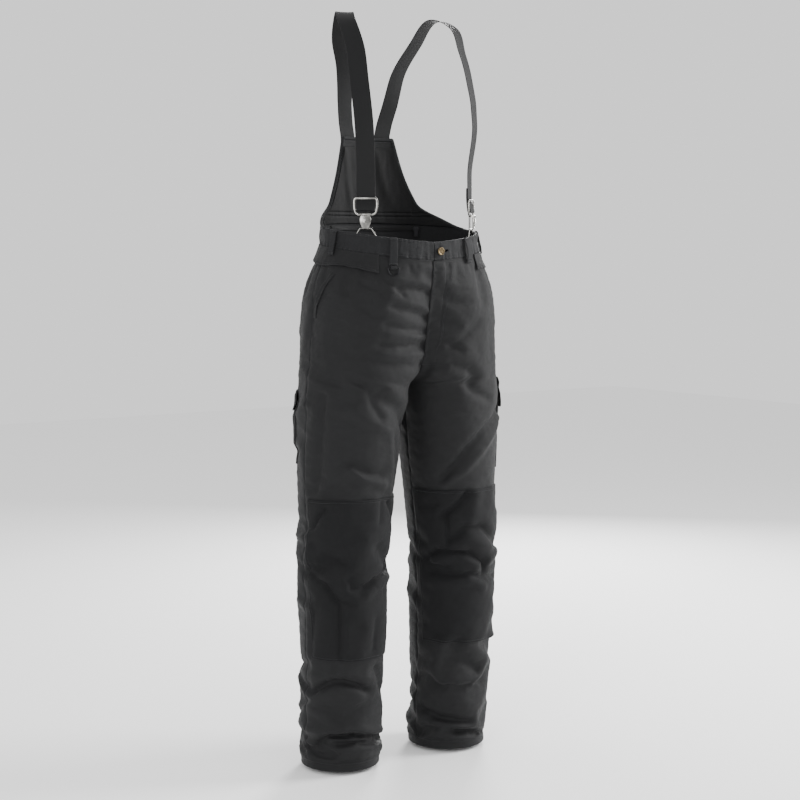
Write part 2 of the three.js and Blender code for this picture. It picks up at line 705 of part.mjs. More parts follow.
const tunnel = acrossX(
  arcPoints(tunnelY, tunnelZ, TUNNEL_HOLE + TUNNEL_WALL, 0, 345, 23),
  BELT_LOOP_WIDTH - 1,
  [[tunnelY, tunnelZ, TUNNEL_HOLE]],
);
const tunnelInPlace = tunnel.rotateZ(ringTurn).translate(ringSeat.x, ringSeat.y, ringSeat.z);
const loopStrip = beltLoop(FRONT, RIGHT, RING_LOOP_ROUND, RING_LOOP_BELOW, RING_LOOP_LIFT);
const bore = rodAlongX(TUNNEL_HOLE, 40, tunnelY, tunnelZ, 20)
  .rotateZ(ringTurn).translate(ringSeat.x, ringSeat.y, ringSeat.z);
add('belt_loop_front_right', cut(join(loopStrip, tunnelInPlace), bore), SHELL_BAND);

const D_HALF = 13 - RING_BAR;
const D_DROP = 17;
const dCurve = new THREE.CurvePath();
const dPoint = (x, z) => new THREE.Vector3(x, tunnelY, tunnelZ + z);
dCurve.add(new THREE.LineCurve3(dPoint(-D_HALF + 2, 0), dPoint(D_HALF - 2, 0)));
dCurve.add(new THREE.QuadraticBezierCurve3(dPoint(D_HALF - 2, 0), dPoint(D_HALF, 0), dPoint(D_HALF, -2)));
dCurve.add(new THREE.CubicBezierCurve3(
  dPoint(D_HALF, -2), dPoint(D_HALF, -D_DROP * 1.22), dPoint(-D_HALF, -D_DROP * 1.22), dPoint(-D_HALF, -2),
));
dCurve.add(new THREE.QuadraticBezierCurve3(dPoint(-D_HALF, -2), dPoint(-D_HALF, 0), dPoint(-D_HALF + 2, 0)));
add('d_ring', wireLoop(dCurve, new THREE.Vector3(0, 1, 0), RING_BAR, 26), DARK_METAL, ringFrame);

// ---- Back panel ---------------------------------------------------------

// The free edge of the panel: half width at each height, wide wings below, concave above.
const PANEL_EDGE = [
  { z: 26, half: WAIST_HALF_WIDTH - 4 },
  { z: 46, half: WAIST_HALF_WIDTH - 26 },
  { z: 72, half: WAIST_HALF_WIDTH * 0.65 },
  { z: 93, half: WAIST_HALF_WIDTH * 0.578 },
  { z: 145, half: WAIST_HALF_WIDTH * 0.461 },
  { z: PANEL_TOP, half: PANEL_TOP_HALF_WIDTH },
];
const PANEL_LEAN = 0.035;

function panelPoint(u, rowShare, inside) {
  const v = rowShare ** 1.6; // rows crowd at the foot, where the edge runs round the waist
  const edgeZ = lerp(PANEL_EDGE[0].z, PANEL_TOP, v);
  const half = smoothThrough(PANEL_EDGE, edgeZ, (k) => k.half);
  const widest = Math.asin(PANEL_EDGE[0].half / WAIST_HALF_WIDTH);
  const across = Math.sin((u * 2 - 1) * widest) / Math.sin(widest);
  const foot = Math.asin(Math.min(1, Math.abs(across) * (PANEL_EDGE[0].half / WAIST_HALF_WIDTH)));
  const footZ = bandTop(Math.PI - foot) + SEAM;
  const z = lerp(footZ, PANEL_TOP, v);
  const x = across * half;
  const lean = PANEL_LEAN * Math.max(0, z - BAND_RISE);
  const deep = depth + 3 + lean - inside;
  const wide = WAIST_HALF_WIDTH - inside;
  return new THREE.Vector3(x, deep * Math.sqrt(Math.max(0, 1 - (x / wide) ** 2)), z);
}

const PANEL_INSIDE = 0.6;
const panelFace = (inside) => (u, v) => panelPoint(u, v, inside);
add(
  'back_panel',
  sheet(16, 10, panelFace(PANEL_INSIDE), panelFace(PANEL_INSIDE + PANEL_CLOTH)),
  SHELL,
);
const LINING_MARGIN = 0.06; // the lining stops short of the bound edge
const liningFace = (inside) => (u, v) => panelPoint(
  lerp(LINING_MARGIN, 1 - LINING_MARGIN, u),
  lerp(LINING_MARGIN, 1 - LINING_MARGIN, v),
  inside,
);
const LINING_CLEAR = 1.3;
const liningOut = PANEL_INSIDE + PANEL_CLOTH + LINING_CLEAR;
add(
  'back_panel_lining',
  sheet(16, 10, liningFace(liningOut), liningFace(liningOut + LINING_CLOTH)),
  LINING,
);

// A short zip closes the foot of the panel to the waistband, inside the back.
const PANEL_ZIP_Z = BAND_RISE - 7;
const panelZipHalfAngle = 41;
const zipInside = BAND_IN + 0.5;
const onBackBand = (round, z, inside) => skin(
  round > 0 ? LEFT : RIGHT, -(90 - Math.abs(round)) * DEGREE, z, inside,
);
const panelZipFace = (inside) => (u, v) => {
  const round = lerp(-panelZipHalfAngle, panelZipHalfAngle, u) || 1e-3;
  return onBackBand(round, lerp(PANEL_ZIP_Z, PANEL_ZIP_Z - 9, v), inside);
};
add('panel_zip', sheet(20, 1, panelZipFace(zipInside), panelZipFace(zipInside + 2)), LINING);

const sliderSeat = onBackBand(panelZipHalfAngle - 3, PANEL_ZIP_Z - 4.5, zipInside + 2);
const sliderNear = onBackBand(panelZipHalfAngle - 4, PANEL_ZIP_Z - 4.5, zipInside + 2);
const panelSlider = new THREE.Group();
panelSlider.position.copy(sliderSeat);
panelSlider.rotation.z = Math.atan2(sliderSeat.y - sliderNear.y, sliderSeat.x - sliderNear.x);
garment.add(panelSlider);
const panelSliderBody = join(
  box(-6, 6, -2.8, -0.5, -4, 4),
  box(-2.5, 2.5, -4.6, -2.7, 1.2, 3.2),
);
add('panel_zip_slider', panelSliderBody, DARK_METAL, panelSlider);
const panelPull = cut(box(-4, 4, -4.4, -3.1, -17, 4.6), box(-2.9, 2.9, -6, -1, 0.8, 3.6));
add('panel_zip_pull', panelPull, DARK_METAL, panelSlider);

// ---- Braces and their clips ---------------------------------------------

const CLIP_ROUND = 51; // from the middle of the front, along the waist
const clipAngle = (90 - CLIP_ROUND) * DEGREE;
const clipFacing = Math.atan2(
  Math.cos(clipAngle) * depth,
  Math.sin(clipAngle) * WAIST_HALF_WIDTH,
);
const clipSkin = skin(LEFT, clipAngle, 0, BAND_IN);
const clipOut = new THREE.Vector3(Math.sin(clipFacing), -Math.cos(clipFacing), 0);
const CLIP_INSIDE = 4.4; // from the inner face of the waistband to the middle of the ring
const clipOrigin = clipSkin.clone().addScaledVector(clipOut, -CLIP_INSIDE).setZ(0);

const FRAME_TOP = 89;
const FRAME_FOOT = FRAME_TOP - FRAME_HEIGHT;
const CROSS_BAR_Z = FRAME_FOOT + 12.6;
const CROSS_BAR = 1.8;
const PIN_Y = -6.3;
const PIN_Z = FRAME_FOOT + 2.6;
const KNUCKLE = 2.7;
const RING_TOP_Z = 27;
const RING_FOOT_Z = 6;
const RING_Y = 0.4;
const SLOT_WIDTH = WEBBING_WIDTH + 1.6;

function clipFrameShape() {
  const half = FRAME_WIDTH / 2;
  const shape = new THREE.Shape();
  shape.moveTo(-half + 5, FRAME_TOP);
  shape.lineTo(half - 5, FRAME_TOP);
  shape.quadraticCurveTo(half - 1.2, FRAME_TOP, half - 0.8, FRAME_TOP - 5);
  shape.quadraticCurveTo(half + 0.4, FRAME_TOP - 18, half - 1.5, FRAME_TOP - 26);
  shape.quadraticCurveTo(half - 3, FRAME_FOOT + 1.5, half - 10, FRAME_FOOT);
  shape.lineTo(-half + 10, FRAME_FOOT);
  shape.quadraticCurveTo(-half + 3, FRAME_FOOT + 1.5, -half + 1.5, FRAME_TOP - 26);
  shape.quadraticCurveTo(-half - 0.4, FRAME_TOP - 18, -half + 0.8, FRAME_TOP - 5);
  shape.quadraticCurveTo(-half + 1.2, FRAME_TOP, -half + 5, FRAME_TOP);
  const slotHalf = SLOT_WIDTH / 2;
  const hole = new THREE.Path();
  hole.moveTo(-slotHalf, FRAME_TOP - FRAME_WIRE);
  hole.lineTo(-slotHalf, FRAME_FOOT + 9);
  hole.lineTo(-slotHalf + 6, FRAME_FOOT + FRAME_WIRE);
  hole.lineTo(slotHalf - 6, FRAME_FOOT + FRAME_WIRE);
  hole.lineTo(slotHalf, FRAME_FOOT + 9);
  hole.lineTo(slotHalf, FRAME_TOP - FRAME_WIRE);
  shape.holes.push(hole);
  const g = new THREE.ExtrudeGeometry(shape, {
    depth: FRAME_PLATE - 1.4,
    bevelEnabled: true,
    bevelThickness: 0.7,
    bevelSize: 0.7,
    bevelOffset: -0.7,
    bevelSegments: 1,
    curveSegments: 4,
  });
  return g.translate(0, 0, -(FRAME_PLATE - 1.4) / 2).rotateX(Math.PI / 2);
}

function clipFrame() {
  return join(clipFrameShape(), rodAlongX(CROSS_BAR, SLOT_WIDTH + 2, 0, CROSS_BAR_Z));
}

// A bent plate: round the frame's foot bar, down behind the lever and under the ring.
const BODY_PLATE = 1.3;
const BODY_WIDTH = 14;
const EAR_REACH = 2.1; // round the pin, each way

function clipBody() {
  const barBack = FRAME_PLATE / 2 + CLIP_CLEARANCE + BODY_PLATE / 2;
  const barTop = FRAME_FOOT + FRAME_WIRE + CLIP_CLEARANCE + BODY_PLATE / 2;
  const hook = arcPoints(RING_Y, RING_TOP_Z, RING_WIRE + CLIP_CLEARANCE + BODY_PLATE / 2, 0, -180, 10);
  const line = [
    [-barBack, FRAME_FOOT - 1.5],
    [-barBack, barTop],
    [barBack, barTop],
    [barBack, FRAME_FOOT - 2],
    [RING_Y + RING_WIRE + CLIP_CLEARANCE + BODY_PLATE / 2, RING_TOP_Z + 4],
    ...hook,
  ];
  const bent = acrossX(strip(line, BODY_PLATE), BODY_WIDTH);
  const earInner = BODY_WIDTH / 2 + 2.6;
  const ears = [-1, 1].map((s) => box(
    Math.min(s * earInner, s * (earInner + 1.4)), Math.max(s * earInner, s * (earInner + 1.4)),
    PIN_Y - EAR_REACH, -barBack + BODY_PLATE / 2, PIN_Z - EAR_REACH, PIN_Z + EAR_REACH,
  ));
  const crown = box(-earInner - 0.4, earInner + 0.4, -barBack - BODY_PLATE / 2, -barBack + BODY_PLATE / 2,
    PIN_Z - EAR_REACH, PIN_Z + EAR_REACH);
  const whole = join(bent, crown, ...ears);
  return cut(whole, rodAlongX(PIN_RADIUS + PIN_CLEARANCE, 40, PIN_Y, PIN_Z));
}

// The lever is a barrel-shaped plate, bulging forwards, that hangs from its knuckle.
function clipLever() {
  const top = PIN_Z - 1;
  const bottom = PIN_Z - LEVER_LENGTH + 1;
  const halfAt = (v) => lerp(8.6, LEVER_WIDTH / 2, Math.sin(Math.PI * Math.min(1, v * 1.35)) ** 0.7)
    * (v > 0.74 ? Math.sqrt(Math.max(0.12, 1 - ((v - 0.74) / 0.27) ** 2)) : 1);
  const bulge = (u, v) => 2.6 * Math.sin(Math.PI * v) * (1 - 0.6 * (2 * u - 1) ** 2);
  const face = (back) => (u, v) => new THREE.Vector3(
    (2 * u - 1) * halfAt(v),
    PIN_Y + 1.2 - bulge(u, v) - (back ? 0 : LEVER_PLATE) + 1.4 * v,
    lerp(top, bottom, v),
  );
  const plate = sheet(4, 9, face(false), face(true));
  const knuckle = rodAlongX(KNUCKLE - 0.2, 17.2, PIN_Y, PIN_Z);
  return cut(join(plate, knuckle), rodAlongX(PIN_RADIUS + PIN_CLEARANCE, 40, PIN_Y, PIN_Z));
}

function triangularRing() {
  const p = (x, z) => new THREE.Vector3(x, RING_Y, z);
  const base = RING_HALF_WIDTH;
  const curve = new THREE.CurvePath();
  const corners = [
    [RING_CROWN, RING_TOP_Z], [base, RING_FOOT_Z], [-base, RING_FOOT_Z], [-RING_CROWN, RING_TOP_Z],
  ];
  const round = 3.4;
  const toward = ([x, z], [x2, z2]) => {
    const length = Math.hypot(x2 - x, z2 - z);
    return p(x + ((x2 - x) * round) / length, z + ((z2 - z) * round) / length);
  };
  corners.forEach((corner, i) => {
    const before = corners[(i + 3) % 4];
    const after = corners[(i + 1) % 4];
    curve.add(new THREE.QuadraticBezierCurve3(toward(corner, before), p(...corner), toward(corner, after)));
    curve.add(new THREE.LineCurve3(toward(corner, after), toward(after, corner)));
  });
  return wireLoop(curve, new THREE.Vector3(0, 1, 0), RING_WIRE, 36);
}

// The webbing tab folds over the ring's foot and is sewn inside the waistband.
const TAB_WEBBING = 1.4;
const TAB_FOOT = -19;
const TAB_WIDTH = WEBBING_WIDTH - 4;
const BAND_CURVE = 111; // radius of the band's inner face where the clips sit
const TAB_GAP = 1 + (TAB_WIDTH / 2) ** 2 / (2 * BAND_CURVE); // clears the curved band at its edges

function ringTab() {
  const bandFace = (z) => -skin(LEFT, clipAngle, z, BAND_IN).sub(clipOrigin).dot(clipOut) + TAB_GAP;
  const radius = RING_WIRE + CLIP_CLEARANCE + TAB_WEBBING / 2;
  const fold = arcPoints(RING_Y, RING_FOOT_Z, radius, 180, 0, 12);
  const line = [
    [bandFace(TAB_FOOT) + TAB_WEBBING / 2, TAB_FOOT],
    [bandFace(-10) + TAB_WEBBING / 2, -10],
    [Math.max(RING_Y - radius, bandFace(0) + TAB_WEBBING / 2), 0],
    ...fold,
    [RING_Y + radius - 0.6, 0],
    [bandFace(-10) + TAB_WEBBING * 1.8, -10],
    [bandFace(TAB_FOOT) + TAB_WEBBING * 1.45, TAB_FOOT],
  ];
  return acrossX(strip(line, TAB_WEBBING), TAB_WIDTH);
}

// The brace runs from the back panel over the shoulder and round the clip's cross bar.
// Points are for the wearer's left; width is the level direction across the webbing.
function bracePath() {
  const clip = (y, z) => {
    const p = clipOrigin.clone().addScaledVector(clipOut, -y);
    return p.setZ(z);
  };
  const wrap = CROSS_BAR + CLIP_CLEARANCE + WEBBING / 2;
  const panelBack = depth + 3 + PANEL_LEAN * (PANEL_TOP - BAND_RISE);
  const tailY = panelBack + WEBBING / 2 + 0.3;
  const foot = BRACE_FOOT_SPREAD;
  const points = [
    [new THREE.Vector3(foot, tailY - 0.8, PANEL_TOP - 26), 0],
    [new THREE.Vector3(foot, tailY, PANEL_TOP + 2), 0],
    [new THREE.Vector3(foot + 5, tailY - 1, PANEL_TOP + 30), 0],
    [new THREE.Vector3(foot + 13.5, 122, 290), 0],
    [new THREE.Vector3(foot + 26, 104, 362), 0.25],
    [new THREE.Vector3(foot + 51, 81, BRACE_TOP - 48), 0.35],
    [new THREE.Vector3(foot + 68, 41, BRACE_TOP), 0.6],
    [new THREE.Vector3(foot + 91, -2, BRACE_TOP - 17), 0.65],
    [new THREE.Vector3(foot + 91, -34, BRACE_TOP - 73), 0.8],
    [new THREE.Vector3(foot + 95.5, -57, BRACE_TOP - 145), 0.85],
    [new THREE.Vector3(foot + 94.5, -72, BRACE_TOP - 232), 0.95],
    [clip(3, 150), 1],
    [clip(3.2, 112), 1],
    [clip(3.2, 92), 1],
    [clip(2.9, 83), 1],
    [clip(-1.6, CROSS_BAR_Z + 6), 1],
  ];
  const tail = [];
  for (let i = 0; i <= 8; i += 1) {
    const a = Math.PI + (Math.PI * i) / 8;
    tail.push([clip(wrap * Math.cos(a), CROSS_BAR_Z + wrap * Math.sin(a)), 1]);
  }
  tail.push([clip(4.4, CROSS_BAR_Z + 10), 1]);
  tail.push([clip(5.6, 92), 1]);
  tail.push([clip(5.6, 112), 1]);
  return [...points, ...tail];
}

function brace(side) {
  const knots = bracePath();
  const curve = new THREE.CatmullRomCurve3(knots.map(([p]) => p), false, 'centripetal');
  const last = knots.length - 1;
  const acrossAt = (turn) => {
    const back = -0.1;
    const angle = lerp(back, clipFacing, turn);
    return new THREE.Vector3(Math.cos(angle), Math.sin(angle), 0);
  };
  const places = [];
  for (let i = 0; i < last; i += 1) {
    const steps = i < 10 ? 2 : 1;
    for (let k = 0; k < steps; k += 1) {
      places.push([i + k / steps, lerp(knots[i][1], knots[i + 1][1], k / steps)]);
    }
  }
  places.push([last, knots[last][1]]);
  const face = (half) => (u, v) => {
    const [place, turn] = places[Math.round(v * (places.length - 1))];
    const t = place / last;
    const p = curve.getPoint(t);
    const along = curve.getTangent(t);
    const across = acrossAt(turn);
    const out = new THREE.Vector3().crossVectors(along, across).normalize();
    p.addScaledVector(across, (u - 0.5) * WEBBING_WIDTH).addScaledVector(out, half);
    return p.setX(p.x * side);
  };
  return sheet(1, places.length - 1, face(WEBBING / 2), face(-WEBBING / 2));
}

for (const side of [RIGHT, LEFT]) {
  const name = sideName(side);
  add(`brace_${name}`, brace(side), WEBBING_BLACK);
  const clip = new THREE.Group();
  clip.position.set(side * clipOrigin.x, clipOrigin.y, 0);
  clip.rotation.z = side * clipFacing;
  garment.add(clip);
  add(`clip_frame_${name}`, clipFrame(), NICKEL, clip);
  add(`clip_body_${name}`, clipBody(), NICKEL, clip);
  add(`clip_lever_${name}`, clipLever(), NICKEL, clip);
  add(`clip_pin_${name}`, rodAlongX(PIN_RADIUS, 2 * (BODY_WIDTH / 2 + 4), PIN_Y, PIN_Z), NICKEL, clip);
  add(`clip_ring_${name}`, triangularRing(), NICKEL, clip);
  add(`ring_tab_${name}`, ringTab(), WEBBING_BLACK, clip);
}

export default garment;
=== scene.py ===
# %% [markdown]
# # Padded winter work trousers with braces
#
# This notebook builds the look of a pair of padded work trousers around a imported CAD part.
# The CAD part gives the bodies that move and the size of every piece. Here each piece of cloth
# is made again with folds, seams and stitches, and each fitting with rounded metal.
#
# The first cell loads the CAD part. Its bodies are what our pieces will ride on.

# %% Load the frame
import math
import bpy
import numpy as np
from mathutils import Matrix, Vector


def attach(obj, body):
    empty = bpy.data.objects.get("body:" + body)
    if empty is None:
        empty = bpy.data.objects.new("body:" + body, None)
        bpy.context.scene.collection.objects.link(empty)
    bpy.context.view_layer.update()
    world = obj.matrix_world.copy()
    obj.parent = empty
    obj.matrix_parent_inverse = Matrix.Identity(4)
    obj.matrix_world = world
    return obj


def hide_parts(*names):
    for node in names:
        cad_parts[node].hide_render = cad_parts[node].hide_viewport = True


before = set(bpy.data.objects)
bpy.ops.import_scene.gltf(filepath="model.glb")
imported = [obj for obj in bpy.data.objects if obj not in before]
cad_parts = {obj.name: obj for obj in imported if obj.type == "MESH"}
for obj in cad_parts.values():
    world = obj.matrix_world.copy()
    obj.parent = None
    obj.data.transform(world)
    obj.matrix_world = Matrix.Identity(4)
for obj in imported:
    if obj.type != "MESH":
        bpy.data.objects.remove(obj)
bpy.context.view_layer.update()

MM = 0.001
SEED = np.random.default_rng(7)
print("CAD nodes:", len(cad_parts))

# %% [markdown]
# ## The sizes
#
# All sizes are in millimetres and are turned into metres when a mesh is made. A *station* is
# the shape of one leg at one height: how far the leg's own axis is from the middle, half its
# width, its depth to the front and to the back, how far it is shifted back, and how much the
# middle crease is rounded.

# %% Sizes and stations
WAIST_HALF, DEPTH, HIP_HALF, HEM_DROP, CROTCH = 180, 122, 217, 1090, 290
BAND_HEIGHT, BAND_RISE, HEM_HEIGHT = 38, 41, 22
RIGHT, LEFT = -1, 1
SIDES = {RIGHT: "right", LEFT: "left"}
DEG = math.pi / 180
HIP_AXIS = HIP_HALF * 0.378
HIP_ROUND = HIP_HALF - HIP_AXIS


def to_hem(share):
    return CROTCH + (HEM_DROP - CROTCH) * share


STATIONS = np.array([
    (0, 0, 180, 120, 125, 0, 0),
    (38, 14, 178, 121, 127, 0, 4),
    (90, HIP_AXIS * 0.74, HIP_ROUND + 15, 123, 135, 0, 10),
    (142, HIP_AXIS, HIP_ROUND, 124, 139, 0, 10),
    (192, HIP_AXIS + 7, HIP_ROUND - 4, 121, 137, 0, 8),
    (238, HIP_AXIS + 12, HIP_ROUND - 5, 117, 130, 0, 5),
    (266, HIP_AXIS + 19, HIP_ROUND - 10, 114, 124, 0, 2),
    (290, 114, 113, 113, 119, 2, 0),
    (to_hem(0.07), 122, 109, 110, 113, 4, 0),
    (to_hem(0.2), 129, 103, 102, 104, 6, 0),
    (to_hem(0.3), 134, 97, 97, 98, 8, 0),
    (to_hem(0.46), 141, 92, 94, 92, 10, 0),
    (to_hem(0.625), 140, 88, 90, 88, 12, 0),
    (to_hem(0.79), 140, 85, 87, 86, 16, 0),
    (HEM_DROP, 139, 81, 83, 82, 23, 0),
])


def smooth_through(knots, values, x):
    """A smooth curve through values at rising knots."""
    x = np.asarray(x, float)
    b = np.clip(np.searchsorted(knots, x, side="right"), 1, len(knots) - 1)
    a = b - 1
    before, after = np.maximum(b - 2, 0), np.minimum(b + 1, len(knots) - 1)
    slope_a = (values[b] - values[before]) / (knots[b] - knots[before])
    slope_b = (values[after] - values[a]) / (knots[after] - knots[a])
    span = knots[b] - knots[a]
    s = np.clip((x - knots[a]) / span, 0, 1)
    s2, s3 = s * s, s * s * s
    return ((2 * s3 - 3 * s2 + 1) * values[a] + (s3 - 2 * s2 + s) * span * slope_a + (3 * s2 - 2 * s3)
            * values[b] + (s3 - s2) * span * slope_b)


def section(z):
    drop = np.clip(-np.asarray(z, float), 0, HEM_DROP)
    return [smooth_through(STATIONS[:, 0], STATIONS[:, k], drop) for k in range(1, 7)]


def middle_angle(z):
    axis, half = section(z)[:2]
    return np.arccos(np.clip(-axis / half, -1, 1))


def skin(side, angle, z, inside=0.0):
    """A point of the plain garment: angle 0 is the outer side, positive runs over the front."""
    axis, half_width, front, back, shift, soften = section(z)
    half = half_width - inside
    reach = np.where(angle > 0, front, back) - inside
    x = axis + half * np.cos(angle)
    soft = soften * np.maximum(0, 1 - x / 80) ** 2
    cosine = np.clip((np.hypot(x, soft) - axis) / half, -1, 1)
    y = shift - np.sign(angle) * reach * np.sqrt(1 - cosine * cosine)
    return np.stack([side * x + 0 * y, y, np.broadcast_to(z, y.shape) + 0.0], -1)


def angle_of(s, z):
    """s runs round one side: 0 middle of the front, 0.5 outer side, 1 middle of the back."""
    a = middle_angle(z) * (1 - 2 * s)
    return np.where(np.abs(a) < 1e-6, 1e-6, a)


def s_of(degrees, z):
    return (1 - degrees * DEG / middle_angle(z)) / 2


def band_top(s):
    """Height of the waistband's top edge: level at the front and raised at the back."""
    return BAND_RISE * np.sin(np.clip(s, 0, 1) * math.pi / 2) ** 1.2


ROWS, COLS = 176, 81
grid_s = np.linspace(0, 1, COLS)[None, :]
grid_v = np.linspace(0, 1, ROWS)[:, None]
grid_z = band_top(grid_s) * (1 - grid_v) - HEM_DROP * grid_v
grid_s = np.broadcast_to(grid_s, grid_z.shape)
base = {side: skin(side, angle_of(grid_s, grid_z), grid_z) for side in SIDES}


def girth_of(points):
    """Length once round one side, for every row."""
    return np.linalg.norm(np.diff(points, axis=1), axis=2).sum(axis=1)[:, None]


def normals_of(points, side):
    n = np.cross(np.gradient(points, axis=0), np.gradient(points, axis=1)) * side
    above = grid_z[:, 0] > -CROTCH + 3
    for column in (0, -1):
        n[above, column, 0] = 0
    return n / np.maximum(np.linalg.norm(n, axis=2, keepdims=True), 1e-9)


girth = girth_of(base[LEFT])
base_normals = {side: normals_of(base[side], side) for side in SIDES}
print("grid", ROWS, "x", COLS, "girth at the hem", round(float(girth[-1, 0])), "mm")
